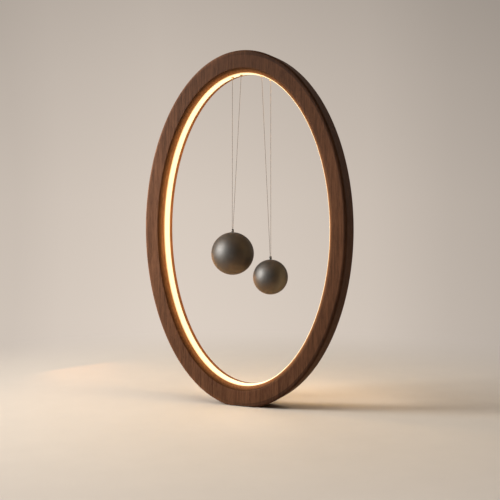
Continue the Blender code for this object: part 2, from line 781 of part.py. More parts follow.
def switch_parts():
    half = SWITCH_LENGTH / 2
    body = block(
        "switch_body",
        (SWITCH_X - half, -SWITCH_WIDTH / 2, SWITCH_LOW),
        (SWITCH_X + half, SWITCH_WIDTH / 2, SWITCH_TOP),
    )
    round_edges(body, SWITCH_ROUNDING, 1)
    room = SWITCH_LOW + PLUNGER_SUNK + YOKE_TRAVEL + GAP
    low, high = (PLUNGER_X, 0, SWITCH_LOW - OVERRUN), (PLUNGER_X, 0, room)
    boolean(body, rod("plunger_bore", low, high, PLUNGER_RADIUS + GAP))
    paint(body, "black_plastic")
    low, high = (PLUNGER_X, 0, PLUNGER_TIP), (PLUNGER_X, 0, SWITCH_LOW + PLUNGER_SUNK)
    paint(rod("switch_plunger", low, high, PLUNGER_RADIUS), "red_plastic")
    low = (SPRING_X, 0, SMALL.pocket_floor - GUIDE_PIN_SUNK)
    high = (SPRING_X, 0, SMALL.bar_high + YOKE_TRAVEL + GUIDE_PIN_SPARE)
    paint(rod("yoke_guide_pin", low, high, GUIDE_PIN_RADIUS), "steel")
    bottom = SMALL.pocket_floor + GAP + SPRING_WIRE
    rise = SMALL.bar_low + SPRING_POCKET - GAP - SPRING_WIRE - bottom
    count = SPRING_TURNS * SPRING_TURN_POINTS
    points = []
    for i in range(count + 1):
        turn = 2 * math.pi * i / SPRING_TURN_POINTS
        points.append((
            SPRING_X + SPRING_RADIUS * math.cos(turn),
            SPRING_RADIUS * math.sin(turn),
            bottom + rise * i / count,
        ))
    spring = paint(tube("yoke_spring", points, SPRING_WIRE), "steel")
    least = rise / SPRING_TURNS - 2 * SPRING_WIRE
    print(f"spring's least gap to itself: {least * 1000:.2f} mm")
    return spring


def mirrored(point, side):
    return Vector((side * point.x, point.y, point.z))


def cell_lead_angle():
    """The ellipse angle at which a cell's lead leaves the groove for the cell's lower end."""
    end = cell_frame(1) @ Vector((0, 0, -(CELL_LENGTH / 2 + CELL_END_ROOM / 2 + GAP)))
    half_width, half_height = ring_axes(CELL_OFFSET)
    return math.atan2((end.z - CENTRE_Z) / half_height, end.x / half_width)


def cell_bore(side):
    """The ends of the bore that a cell's lead takes out of the groove."""
    offsets = (GROOVE_DEPTH - OVERRUN, CELL_OFFSET)
    return [mirrored(ring_point(offset, cell_lead_angle(), -LEAD_Y), side) for offset in offsets]


def foot_angle():
    """The ellipse angle at which a lead leaves the groove for the board, on the right."""
    return -math.acos(LEAD_RISE_X / ring_axes(LEAD_OFFSET)[0])


def groove_run(start, end, y, side):
    """Points along the light groove between two ellipse angles on one side of the ring."""
    count = max(2, round(STATIONS * abs(end - start) / (2 * math.pi)))
    angles = [start + (end - start) * i / count for i in range(count + 1)]
    return [mirrored(ring_point(LEAD_OFFSET, angle, y), side) for angle in angles]


def lead(name, head, run, tail):
    """A wire from its head along a run of the groove to its tail, with the corners rounded."""
    first = rounded_route(head + run[:2], LEAD_BEND)[:-1]
    last = rounded_route(run[-2:] + tail, LEAD_BEND)[1:]
    return paint(tube(name, first + run[1:-1] + last, LEAD_RADIUS), "insulated_wire")


def leads():
    """The switch's lead down the left of the ring, each cell's lead on its own side, and the tape's."""
    board = BOARD_TOP + GAP
    middle = (SWITCH_LOW + SWITCH_TOP) / 2
    head = [(SWITCH_LEAD_X, SWITCH_WIDTH / 2 + GAP, middle), (SWITCH_LEAD_X, LEAD_Y, middle)]
    start = math.acos(SWITCH_LEAD_X / ring_axes(LEAD_OFFSET)[0])
    run = groove_run(start, math.pi - foot_angle(), LEAD_Y, 1)
    lead("switch_lead", head, run, [(-LEAD_RISE_X, LEAD_Y, board)])
    for word, side in (("left", -1), ("right", 1)):
        run = groove_run(cell_lead_angle(), foot_angle(), -LEAD_Y, side)
        cell_end = cell_bore(side)[1]
        lead(f"battery_lead_{word}", [cell_end], run, [(side * LEAD_RISE_X, -LEAD_Y, board)])
    low, high = (TAPE_LEAD_X, 0, board), (TAPE_LEAD_X, 0, GROOVE_FLOOR_Z)
    paint(rod("tape_lead", low, high, LEAD_RADIUS), "insulated_wire")


def weight(name, side, grown=0):
    """An arc of steel that follows the ring beside the driver's pocket."""
    half = WEIGHT_DEPTH / 2 + grown
    inner, outer = WEIGHT_OFFSET - grown, WEIGHT_OFFSET + WEIGHT_THICKNESS + grown
    arc = flat_ring(name, ring_axes(inner), ring_axes(outer), -half, half)
    low, high = sorted((side * (WEIGHT_NEAR - grown), side * (WEIGHT_FAR + grown)))
    room = half + OVERRUN
    window = block(name + "_window", (low, -room, 0), (high, room, CENTRE_Z))
    return boolean(arc, window, "INTERSECT")


def cell(name, side):
    half = CELL_LENGTH / 2
    profile = [
        (0, half + CELL_CAP_HEIGHT),
        (CELL_CAP_RADIUS, half + CELL_CAP_HEIGHT),
        (CELL_CAP_RADIUS, half),
        (CELL_RADIUS, half),
        (CELL_RADIUS, -half),
        (0, -half),
    ]
    return paint(turned(name, profile, cell_frame(side), ROUND_STEPS), "cell_wrap")


def driver():
    half_x = BOARD_WIDTH / 2
    board = block("driver_board", (-half_x, BOARD_FRONT, BOARD_LOW), (half_x, BOARD_BACK, BOARD_TOP))
    paint(board, "board_green")
    low = BOARD_TOP + GAP
    half = CHIP_BODY_SIZE / 2
    chip = block(
        "driver_chip",
        (CHIP_BODY_X - half, PARTS_Y - half, low),
        (CHIP_BODY_X + half, PARTS_Y + half, low + CHIP_BODY_HEIGHT),
    )
    paint(chip, "black_plastic")
    half = INDUCTOR_SIZE / 2
    inductor = block(
        "driver_inductor",
        (INDUCTOR_X - half, PARTS_Y - half, low),
        (INDUCTOR_X + half, PARTS_Y + half, low + INDUCTOR_HEIGHT),
    )
    round_edges(inductor, INDUCTOR_ROUNDING, 2)
    paint(inductor, "black_plastic")
    receptacle()


def receptacle():
    """The charging port: a flat rounded shell with a tongue, open to the back."""
    back = PORT_MOUTH
    front = back - PORT_LENGTH
    shell = rounded_slab(
        "charging_port", PORT_WIDTH / 2, PORT_HEIGHT / 2, front, back, PORT_HEIGHT / 2 * PORT_CORNER_SHARE,
    )
    wall = PORT_WALL
    room = rounded_slab(
        "port_room", PORT_WIDTH / 2 - wall, PORT_HEIGHT / 2 - wall,
        front + PORT_BACK, back + OVERRUN, (PORT_HEIGHT / 2 - wall) * PORT_CORNER_SHARE,
    )
    boolean(shell, room)
    tongue = block(
        "tongue",
        (-TONGUE_WIDTH / 2, front + PORT_BACK / 2, PORT_Z - TONGUE_HEIGHT / 2),
        (TONGUE_WIDTH / 2, back - TONGUE_SHORT, PORT_Z + TONGUE_HEIGHT / 2),
    )
    boolean(shell, tongue, "UNION")
    return paint(shell, "steel")


def fasteners():
    for number, angle in enumerate(both_sides((*SCREW_ANGLES, LOW_SCREW_ANGLE)), 1):
        head = SCREW_HEAD_HEIGHT
        profile = [
            (0, head),
            (SCREW_HEAD_RADIUS, head),
            (SCREW_HEAD_RADIUS, 0),
            (SCREW_RADIUS, 0),
            (SCREW_RADIUS, -SCREW_LENGTH + SCREW_RADIUS),
            (0, -SCREW_LENGTH),
        ]
        spot = ring_point(FASTENER_OFFSET, angle, DEPTH / 2 - SCREW_HEAD_SUNK - head)
        place = Matrix.Translation(spot) @ Matrix.Rotation(-math.pi / 2, 4, "X")
        screw = turned(f"ring_screw_{number}", profile, place, SMALL_STEPS)
        top = DEPTH / 2 - SCREW_HEAD_SUNK
        low = ring_point(FASTENER_OFFSET, angle, top - SCREW_SOCKET_DEPTH)
        high = ring_point(FASTENER_OFFSET, angle, top + OVERRUN)
        boolean(screw, rod("hex_socket", low, high, SCREW_SOCKET_RADIUS, 6))
        paint(screw, "steel")
    for number, angle in enumerate(both_sides(DOWEL_ANGLES), 1):
        half = DOWEL_LENGTH / 2
        profile = [
            (0, half),
            (DOWEL_RADIUS - DOWEL_CHAMFER, half),
            (DOWEL_RADIUS, half - DOWEL_CHAMFER),
            (DOWEL_RADIUS, -half + DOWEL_CHAMFER),
            (DOWEL_RADIUS - DOWEL_CHAMFER, -half),
            (0, -half),
        ]
        spot = ring_point(FASTENER_OFFSET, angle)
        place = Matrix.Translation(spot) @ Matrix.Rotation(-math.pi / 2, 4, "X")
        paint(turned(f"ring_dowel_{number}", profile, place, SMALL_STEPS), "beech")


def pivot_at(name, spot, parent=None):
    """An empty on a joint's axis, which the moving pieces hang from."""
    empty = bpy.data.objects.new(name, None)
    LAMP.objects.link(empty)
    empty.location = spot
    bpy.context.view_layer.update()
    if parent:
        attach(empty, parent)
    return empty


def attach(thing, parent):
    bpy.context.view_layer.update()
    world = thing.matrix_world.copy()
    thing.parent = parent
    thing.matrix_parent_inverse = parent.matrix_world.inverted()
    thing.matrix_world = world


def hang(hung, carrier=None):
    """One ball with its fittings, its two threads and their beads."""
    name = hung.name
    swing = pivot_at(name + "_swing", hung.outer_bead, carrier)
    for part, spot in (("outer", hung.outer_bead), ("inner", hung.inner_bead)):
        bead = ball(f"{name}_{part}_bead", spot, BEAD_RADIUS, SMALL_STEPS)
        attach(paint(bead, "bronzed_aluminium"), swing)
    side_swing = pivot_at(name + "_side_swing", hung.outer_bead, swing)
    low_x = hung.centre.x - hung.inward * THREAD_SPREAD / 2
    clear = BEAD_RADIUS + GAP
    for part, bead, shift in (("outer", hung.outer_bead, 0), ("inner", hung.inner_bead, THREAD_SPREAD)):
        end = Vector((low_x + hung.inward * shift, 0, hung.thread_end))
        start = bead + (end - bead).normalized() * clear
        thread = paint(tube(f"{name}_{part}_thread", [start, end], THREAD_RADIUS, 2), "thread")
        if part == "outer":
            attach(thread, side_swing)
        else:
            attach(thread, pivot_at(name + "_inner_swing", bead, swing))
    attach(nipple(hung), side_swing)
    attach(swivel_pin(hung), side_swing)
    spin = pivot_at(name + "_spin", (hung.centre.x, 0, hung.nipple_base), side_swing)
    for piece in ball_pieces(hung):
        attach(piece, spin)


def nipple(hung):
    """The cone on top of a ball: a bore for the threads above, a socket for the swivel pin below."""
    socket = PIN_RADIUS + GAP
    upper = NIPPLE_HEIGHT - NIPPLE_BORE_DEPTH
    place = Matrix.Translation((hung.centre.x, 0, hung.nipple_base))
    profile = [
        (0, NIPPLE_HEIGHT),
        (NIPPLE_TIP_RADIUS, NIPPLE_HEIGHT),
        (NIPPLE_BASE_RADIUS, 0),
        (socket, 0),
        (socket, NIPPLE_SOCKET_DEPTH),
        (0, NIPPLE_SOCKET_DEPTH),
    ]
    body = turned(f"{hung.name}_nipple", profile, place, ROUND_STEPS)
    low = (hung.centre.x, 0, hung.nipple_base + upper)
    high = (hung.centre.x, 0, hung.nipple_tip + OVERRUN)
    boolean(body, rod("thread_bore", low, high, NIPPLE_BORE_RADIUS))
    return paint(body, "bronzed_aluminium")


def shoulder_z(hung):
    """The height at which the ball rests on the swivel pin's head."""
    return hung.centre.z - hung.radius + PLUG_LENGTH + MAGNET_LENGTH + PIN_HEAD_THICKNESS + 4 * GAP


def swivel_pin(hung):
    head_top = shoulder_z(hung) - GAP
    tip = hung.nipple_base + NIPPLE_SOCKET_DEPTH - GAP
    profile = [
        (0, tip - head_top),
        (PIN_RADIUS, tip - head_top),
        (PIN_RADIUS, 0),
        (PIN_HEAD_RADIUS, 0),
        (PIN_HEAD_RADIUS, -PIN_HEAD_THICKNESS),
        (0, -PIN_HEAD_THICKNESS),
    ]
    place = Matrix.Translation((hung.centre.x, 0, head_top))
    return paint(turned(f"{hung.name}_swivel_pin", profile, place, SMALL_STEPS), "steel")


def ball_pieces(hung):
    """The turned ball, its magnet and the plug that closes it from below."""
    x = hung.centre.x
    bottom = hung.centre.z - hung.radius
    plug_top = bottom + PLUG_LENGTH
    magnet_low = plug_top + GAP
    magnet_top = magnet_low + MAGNET_LENGTH
    shoulder = shoulder_z(hung)
    shell = ball(f"{hung.name}_ball", hung.centre, hung.radius, FINE_STEPS)
    below = (0, bottom - OVERRUN)
    steps = (
        (PIN_RADIUS + GAP, hung.nipple_tip),
        (PIN_HEAD_RADIUS + GAP, shoulder),
        (MAGNET_RADIUS + GAP, magnet_top + GAP),
        (PLUG_RADIUS, plug_top),
        below,
    )
    profile = [(0, hung.nipple_tip)]
    for (radius, top), (_, low) in zip(steps, steps[1:]):
        profile += [(radius, top), (radius, low)]
    profile.append(below)
    boolean(shell, turned(f"{hung.name}_stepped_bore", profile, Matrix.Translation((x, 0, 0)), ROUND_STEPS))
    magnet = rod(f"{hung.name}_magnet", (x, 0, magnet_low), (x, 0, magnet_top), MAGNET_RADIUS, ROUND_STEPS)
    low, high = (x, 0, bottom - OVERRUN), (x, 0, plug_top)
    plug = rod(f"{hung.name}_plug", low, high, PLUG_RADIUS - GAP, ROUND_STEPS)
    boolean(plug, ball(f"{hung.name}_plug_form", hung.centre, hung.radius, FINE_STEPS), "INTERSECT")
    half = PLUG_SLOT_WIDTH / 2
    slot = block(
        f"{hung.name}_plug_slot",
        (x - PLUG_RADIUS, -half, bottom - OVERRUN),
        (x + PLUG_RADIUS, half, bottom + PLUG_SLOT_DEPTH),
    )
    boolean(plug, slot)
    paint(shell, "bronzed_aluminium")
    paint(magnet, "magnet")
    paint(plug, "bronzed_aluminium")
    return shell, magnet, plug


def build():
    pockets = pocket_cutters()
    wooden_half("front_ring", -1, pockets)
    wooden_half("rear_ring", 1, pockets)
    light_band()
    fasteners()
    paint(bar("fixed_hanger_bar", LARGE), "opal_nylon")
    for part, x in (("outer", LARGE.outer_x), ("inner", LARGE.inner_x)):
        ferrule(f"large_{part}_ferrule", LARGE, x)
    lift = pivot_at("yoke_lift", (SPRING_X, 0, SMALL.bar_low))
    attach(pull_yoke(), lift)
    for part, x in (("outer", SMALL.outer_x), ("inner", SMALL.inner_x)):
        attach(ferrule(f"small_{part}_ferrule", SMALL, x), lift)
    switch_parts()
    leads()
    driver()
    for side, word in ((-1, "left"), (1, "right")):
        cell(f"battery_cell_{word}", side)
        paint(weight(f"base_weight_{word}", side), "steel")
    pad = rounded_plate("foot_pad", PAD_LENGTH / 2, PAD_WIDTH / 2, 0, PAD_PROUD + PAD_SUNK, PAD_CORNER)
    paint(pad, "rubber")
    hang(LARGE)
    hang(SMALL, lift)


def tell_places():
    """Prints where the joints' axes and the switch are, in metres."""
    for hung in BOTH:
        for place in ("centre", "outer_bead", "inner_bead"):
            print(hung.name, place, *(f"{value:.5f}" for value in getattr(hung, place)))
    print(f"plunger {PLUNGER_X:.5f} {PLUNGER_TIP:.5f}, foot of the spring {SMALL.pocket_floor + GAP:.5f}")


build()
tell_places()
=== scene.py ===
"""Looks of a magnetic balance lamp: walnut ring, light band, twisted threads, bronzed balls."""

import json
import math

import bmesh
import bpy
from mathutils import Matrix, Vector


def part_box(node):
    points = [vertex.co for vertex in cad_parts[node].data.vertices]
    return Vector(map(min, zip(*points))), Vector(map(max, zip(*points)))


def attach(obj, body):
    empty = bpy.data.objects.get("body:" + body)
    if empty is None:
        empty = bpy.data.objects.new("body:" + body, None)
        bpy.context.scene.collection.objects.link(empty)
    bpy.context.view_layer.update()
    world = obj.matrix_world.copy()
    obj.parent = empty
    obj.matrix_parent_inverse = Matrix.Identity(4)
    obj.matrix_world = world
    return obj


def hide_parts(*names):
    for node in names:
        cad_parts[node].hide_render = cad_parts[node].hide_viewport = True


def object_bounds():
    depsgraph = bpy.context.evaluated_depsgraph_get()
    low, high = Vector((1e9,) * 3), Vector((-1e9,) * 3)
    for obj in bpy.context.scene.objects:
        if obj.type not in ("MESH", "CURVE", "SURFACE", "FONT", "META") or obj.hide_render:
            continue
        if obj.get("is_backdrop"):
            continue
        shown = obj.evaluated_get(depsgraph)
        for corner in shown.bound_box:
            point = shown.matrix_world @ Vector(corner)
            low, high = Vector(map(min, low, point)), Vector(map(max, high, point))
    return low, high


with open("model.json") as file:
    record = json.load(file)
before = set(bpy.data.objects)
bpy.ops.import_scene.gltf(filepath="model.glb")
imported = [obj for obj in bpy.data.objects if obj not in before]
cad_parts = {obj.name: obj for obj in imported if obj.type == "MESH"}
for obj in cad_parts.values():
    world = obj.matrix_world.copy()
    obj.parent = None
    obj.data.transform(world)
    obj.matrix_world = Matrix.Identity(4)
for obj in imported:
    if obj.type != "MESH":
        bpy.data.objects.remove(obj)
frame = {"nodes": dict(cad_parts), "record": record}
CAD_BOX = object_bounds()

# The ring, where the boxes of the solids don't say it
SIDE_WIDTH = 0.021  # of the wood at the sides
END_WIDTH = 0.024  # and at the crown and the foot
FOOT_CUT = 0.0028  # what the flat foot takes off the ellipse
FOOT_EDGE = 0.0008
OUTER_EDGE = 0.0028
REAR_INNER_EDGE = 0.0015
BEVEL_WIDTH = 0.0045
BEVEL_LIP = 0.0007
FACE_EDGE = 0.0005
LIP_EDGE = 0.0002
GROOVE_HALF_WIDTH = 0.0070
GROOVE_DEPTH = 0.0050
PORT_ROUNDING = 0.48  # of the port's height
REARWARDS = (0, 1, 0)
SEAM = 0.00003  # from the middle plane to each half
GAP = 0.0003  # between pieces that fit into each other
OVERRUN = 0.002  # of a cutter past the face that it opens

# Light band
BAND_PROUD = 0.0010
BAND_BACK = 0.0029
BAND_HALF_WIDTH = 0.0066
BAND_DOME = (6, 0.25)  # powers of its section: flat over the middle, steep at the edges
BAND_HOLE_GAP = GAP / 3

# Ferrules, with the body that each one moves with
FERRULES = {
    "large_outer_ferrule": "ring",
    "large_inner_ferrule": "ring",
    "small_outer_ferrule": "yoke",
    "small_inner_ferrule": "yoke",
}
FERRULE_RADIUS = 0.0018
FERRULE_FLANGE = 0.0008
FERRULE_MOUTH = 0.00125
FERRULE_SEAT = 0.00095
FERRULE_SEAT_STEP = 0.00035
FERRULE_LIP = 0.0006
FERRULE_EDGE = 0.00025

# Threads: number of plies, how deep the hollows between them are, and the length of one turn
THREAD_PLIES = 3
THREAD_PLY_SHARE = 0.30
THREAD_TURN = 0.0016

# Balls, plugs and nipples
BALL_EDGE = 0.0003
PIN_HOLE_RADIUS = 0.0010
PLUG_HOLE_RADIUS = 0.0068
PLUG_HOLE_DEPTH = 0.0070
PLUG_SLOT_WIDTH = 0.0012
PLUG_SLOT_DEPTH = 0.0014
NIPPLE_BASE_RADIUS = 0.0017
NIPPLE_TIP_RADIUS = 0.00135
NIPPLE_WAIST = 0.00018
NIPPLE_EDGE = 0.0002
NIPPLE_BORE_RADIUS = 0.0010
NIPPLE_BORE_DEPTH = 0.0014

# Screws and their counterbores
SCREWS = sorted(name for name in frame["nodes"] if name.startswith("ring_screw_"))
SCREW_HEAD_HEIGHT = 0.0018
SCREW_SHANK_RADIUS = 0.0015
SCREW_CHAMFER = 0.0003
SOCKET_SIDES = 6
SOCKET_RADIUS = 0.0013
SOCKET_DEPTH = 0.0011
COUNTERBORE_RADIUS = 0.0031
COUNTERBORE_CHAMFER = 0.0004

# Fineness of the meshes, and the angles in degrees from which an edge stays sharp
STATIONS = 288
ROUNDING_STEPS = 8
EDGE_STEPS = 4
FOOT_EDGE_STEPS = 3
BAND_STEPS = 24
LATHE_STEPS = 40
BALL_STEPS = 96
PLUG_STEPS = 64
PLUG_DOME_STEPS = 12
NIPPLE_STEPS = 8
THREAD_POINTS = 12
THREAD_STEP = 0.0004
SHARP = 35
BALL_SHARP = 40
THREAD_SHARP = 80

# The ring's ellipses, from the front half's box
RING_LOW, RING_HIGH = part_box("front_ring")
HALF_WIDTH = RING_HIGH.x
HALF_DEPTH = -RING_LOW.y
FOOT_Z = RING_LOW.z
HALF_HEIGHT = (RING_HIGH.z - FOOT_Z + FOOT_CUT) / 2
CENTRE_Z = RING_HIGH.z - HALF_HEIGHT
INNER = (HALF_WIDTH - SIDE_WIDTH, HALF_HEIGHT - END_WIDTH)
OUTER = (HALF_WIDTH, HALF_HEIGHT)

# Walnut darker at the crown and the foot, painted shade at the right; 1 in the middle or at the
# left
CROWN_TONE = 0.60
CROWN_START = 0.03  # above the ring's middle
FOOT_TONE = 0.76
FOOT_END = 0.12  # below the ring's middle
# Painted shade over the right side, away from the key lamp at the left
RIGHT_PAINTED_SHADE = 0.82
RIGHT_SHADE_SPAN = (-0.10, 0.10)

# Painted shade and highlight on the walnut. Their place is a depth behind the front face, as a
# share of the length below, and a reach: the square of the distance from the ring's middle,
# which is 1 on the outer ellipse
SHADING_DEPTH = 0.006
INNER_REACH = (0.86, 0.92)
RIGHT_SPAN = (-0.03, 0.03)
# Painted shade on the first line of the bevel behind the front face, fainter on the outer side at
# the right
PAINTED_BEVEL_SHADE = ((0.02, 0.0), (0.07, 0.62), (0.18, 0.58), (0.38, 0.42), (0.80, 0.0))
PAINTED_BEVEL_SHADE_RIGHT = 0.55
# Painted highlight on the outer front edge at the left
PAINTED_HIGHLIGHT = 0.38
HIGHLIGHT_REACH = (0.955, 0.985)
HIGHLIGHT_DEPTH = (0.35, 0.6)
# Painted shade on the outer front edge at the right
SHADE = 0.48
SHADE_REACH = (0.941, 0.948)
SHADE_DEPTH = (0.10, 0.30)

# The light band's own light, and a painted glow for what it sheds on the wood, from the front face
# to the rear
BAND_CENTRE = (0.97, 0.90, 0.62)
BAND_SHOULDER = (0.95, 0.68, 0.30)
BAND_EDGE = (0.40, 0.18, 0.045)
WOOD_PAINTED_GLOW = (
    (0.0, 0.0), (0.02, (0.06, 0.04, 0.015)), (0.08, (0.17, 0.13, 0.06)), (0.14, (0.27, 0.20, 0.10)),
    (0.20, (0.48, 0.36, 0.18)), (0.245, (0.78, 0.62, 0.30)), (0.267, (0.95, 0.75, 0.36)),
    (0.733, (0.75, 0.52, 0.22)), (0.78, (0.50, 0.33, 0.13)), (0.88, (0.46, 0.29, 0.11)),
    (0.98, (0.46, 0.30, 0.13)), (1.0, 0.0),
)
WOOD_PAINTED_GLOW_STRENGTH = 3.4

# Middle range of a noise
NOISE_LOW = 0.3
NOISE_HIGH = 0.7

# Threads are darker near the crown, and moulded plastic and metal in their texture's low places
THREAD_DARK_LENGTH = 0.04
THREAD_DARK = 0.35
MOULDED_DARK = 0.9
METAL_DARK = 0.85

# Camera
CAMERA_PLACE = (0.3937, -0.9442, 0.2236)
CAMERA_TURN = 22.4
CAMERA_PITCH = -2.63
CAMERA_LENS = 64.8
CAMERA_SENSOR = 36.0
CAMERA_CLIP = 0.01

# Lamps of the room: key, top and rear light things, and sheen shows only in reflections
KEY_PLACE = (-1.28, -0.62, 0.67)
KEY_SIZE = (0.45, 1.0)
KEY_POWER = 30.0
KEY_COLOUR = (1.0, 0.965, 0.92)
SHEEN_PLACE = (-1.13, -0.87, 0.65)
SHEEN_POWER = 40.0
SHEEN_COLOUR = (0.96, 0.975, 1.0)
REAR_PLACE = (-0.7, 1.5, 1.1)
REAR_SIZE = (1.2, 1.2)
REAR_POWER = 7.0
TOP_PLACE = (-0.25, -0.45, 2.1)
TOP_SIZE = (1.4, 1.4)
TOP_POWER = 16.0

# The band's light: at the foot, as a warm rim on the balls, and in strips along the band
FOOT_GLOW_PLACE = (0.04, 0.09, 0.10)
FOOT_GLOW_SIZE = (0.20, 0.06)
FOOT_GLOW_POWER = 0.06
FOOT_GLOW_COLOUR = (1.0, 0.66, 0.34)
RIM_PLACE = (-0.32, 0.14, 0.02)
RIM_SIZE = (0.10, 0.30)
RIM_POWER = 0.62
RIM_AIM = (0.006, 0.0, 0.16)
STRIP_STATIONS = 72
STRIP_PROUD = 0.0015
SHED_POWER = 0.0060
SHED_COLOUR = (1.0, 0.66, 0.30)
MIRRORED_POWERS = (0.013, 0.0036)  # at the left and at the right
MIRRORED_COLOUR = (1.0, 0.42, 0.09)

# Light from all round. The spans here are parts of a direction, from -1 to 1
AMBIENT_LEFT = (0.050, 0.043, 0.037)
AMBIENT_RIGHT = (0.034, 0.022, 0.0105)
AMBIENT_SPAN = (-0.3, 0.7)

# Backdrop, with its brightness over the spans, and plain in front of the lamp
WALL = (0.725, 0.633, 0.552)
WALL_SPAN = (-0.62, -0.12)
WALL_ACROSS = (
    (0.04, 0.86), (0.12, 0.93), (0.31, 1.0), (0.48, 0.958), (0.73, 0.87), (0.90, 0.73), (1.0, 0.68),
)
WALL_RISE = (-0.12, 0.24)
WALL_UP = ((0.0, 1.0), (0.36, 0.93), (0.72, 0.80), (1.0, 0.67))
WALL_PLAIN = 0.85
WALL_PLAIN_SPAN = (0.4, -0.2)
WALL_MIRRORED_SPAN = (0.4, 0.95)

# Floor, which turns into the backdrop's colour over a distance from the lamp
FLOOR = (0.71, 0.635, 0.55)
FLOOR_REACH = 40.0
FLOOR_SPECK = (0.985, 1.015)
FLOOR_MIRRORED = (0.55, 0.46, 0.38)
FLOOR_FADE = (0.20, 0.62)
FLOOR_FADE_MIRRORED = 0.2
FLOOR_PLAIN_SPAN = (0.1, -0.5)


# Meshes

def link(thing):
    bpy.context.scene.collection.objects.link(thing)
    return thing


def from_lists(name, verts, faces):
    mesh = bpy.data.meshes.new(name)
    mesh.from_pydata(verts, [], faces)
    return link(bpy.data.objects.new(name, mesh))


def shade(mesh, sharp):
    mesh.shade_smooth()
    mesh.set_sharp_from_angle(angle=math.radians(sharp))


def tidy_normals(thing, sharp=SHARP):
    """Turns all faces outwards and shades them smooth between sharp edges."""
    shape = bmesh.new()
    shape.from_mesh(thing.data)
    bmesh.ops.recalc_face_normals(shape, faces=shape.faces)
    shape.to_mesh(thing.data)
    shape.free()
    shade(thing.data, sharp)
    return thing


def arc(centre, radius, start, end, steps):
    """Points of a circle's arc between two angles in degrees."""
    angles = [math.radians(start + (end - start) * i / steps) for i in range(steps + 1)]
    return [(centre[0] + radius * math.cos(a), centre[1] + radius * math.sin(a)) for a in angles]


def eased(before, corner, after, reach):
    """An outline's corner as a short curve, between two points that keep its flats flat."""
    before, corner, after = Vector(before), Vector(corner), Vector(after)
    back, on = (before - corner).normalized() * reach, (after - corner).normalized() * reach
    curve = []
    for i in range(EDGE_STEPS + 1):
        share = i / EDGE_STEPS
        curve.append(corner + back * (1 - share) ** 2 + on * share**2)
    return [tuple(point) for point in (corner + back * 2, *curve, corner + on * 2)]


def swept_ring(name, section):
    """A closed section of (ellipse, offset, y) points, carried round the ring.

    The offset grows the two half axes of the ellipse that the point belongs to.
    """
    verts, faces = [], []
    for i in range(STATIONS):
        turn = 2 * math.pi * i / STATIONS
        for axes, offset, y in section:
            x = (axes[0] + offset) * math.cos(turn)
            z = CENTRE_Z + (axes[1] + offset) * math.sin(turn)
            verts.append((x, y, z))
    count = len(section)
    for i in range(STATIONS):
        here, there = i * count, (i + 1) % STATIONS * count
        for j in range(count):
            k = (j + 1) % count
            faces.append((here + j, here + k, there + k, there + j))
    return tidy_normals(from_lists(name, verts, faces))


def lathe(name, profile, centre, steps=LATHE_STEPS, axis=None, closed=False, sharp=SHARP):
    """A profile of (radius, height) points turned round an upright axis through the centre.

    Another axis takes the place of the upright one. A closed profile ends where it starts.
    """
    verts, rings, faces = [], [], []
    for radius, height in profile:
        if radius == 0:
            rings.append([len(verts)] * steps)
            verts.append((0, 0, height))
            continue
        rings.append(list(range(len(verts), len(verts) + steps)))
        for i in range(steps):
            turn = 2 * math.pi * i / steps
            verts.append((radius * math.cos(turn), radius * math.sin(turn), height))
    pairs = list(zip(rings, rings[1:]))
    if closed:
        pairs.append((rings[-1], rings[0]))
    for upper, lower in pairs:
        for i in range(steps):
            k = (i + 1) % steps
            corners = [upper[i], upper[k], lower[k], lower[i]]
            unique = list(dict.fromkeys(corners))
            if len(unique) > 2:
                faces.append(unique)
    thing = from_lists(name, verts, faces)
    place = Matrix.Translation(centre)
    if axis is not None:
        place = place @ Vector(axis).to_track_quat("Z", "Y").to_matrix().to_4x4()
    thing.data.transform(place)
    return tidy_normals(thing, sharp)


def box_mesh(name, low, high):
    shape = bmesh.new()
    low, high = Vector(low), Vector(high)
    place = Matrix.Translation((low + high) / 2) @ Matrix.Diagonal((*(high - low), 1))
    bmesh.ops.create_cube(shape, size=1, matrix=place)
    mesh = bpy.data.meshes.new(name)
    shape.to_mesh(mesh)
    shape.free()
    return link(bpy.data.objects.new(name, mesh))


def cut(thing, cutters):
    """Takes the cutters out of a piece, makes the result its own mesh and removes the cutters."""
    for cutter in cutters:
        modifier = thing.modifiers.new("cut", "BOOLEAN")
        modifier.solver = "EXACT"
        modifier.object = cutter
    graph = bpy.context.evaluated_depsgraph_get()
    mesh = bpy.data.meshes.new_from_object(thing.evaluated_get(graph))
    thing.modifiers.clear()
    thing.data = mesh
    for cutter in cutters:
        bpy.data.objects.remove(cutter, do_unlink=True)
    shade(mesh, SHARP)


# Node trees

def scaled(colour, factor):
    return tuple(value * factor for value in colour)


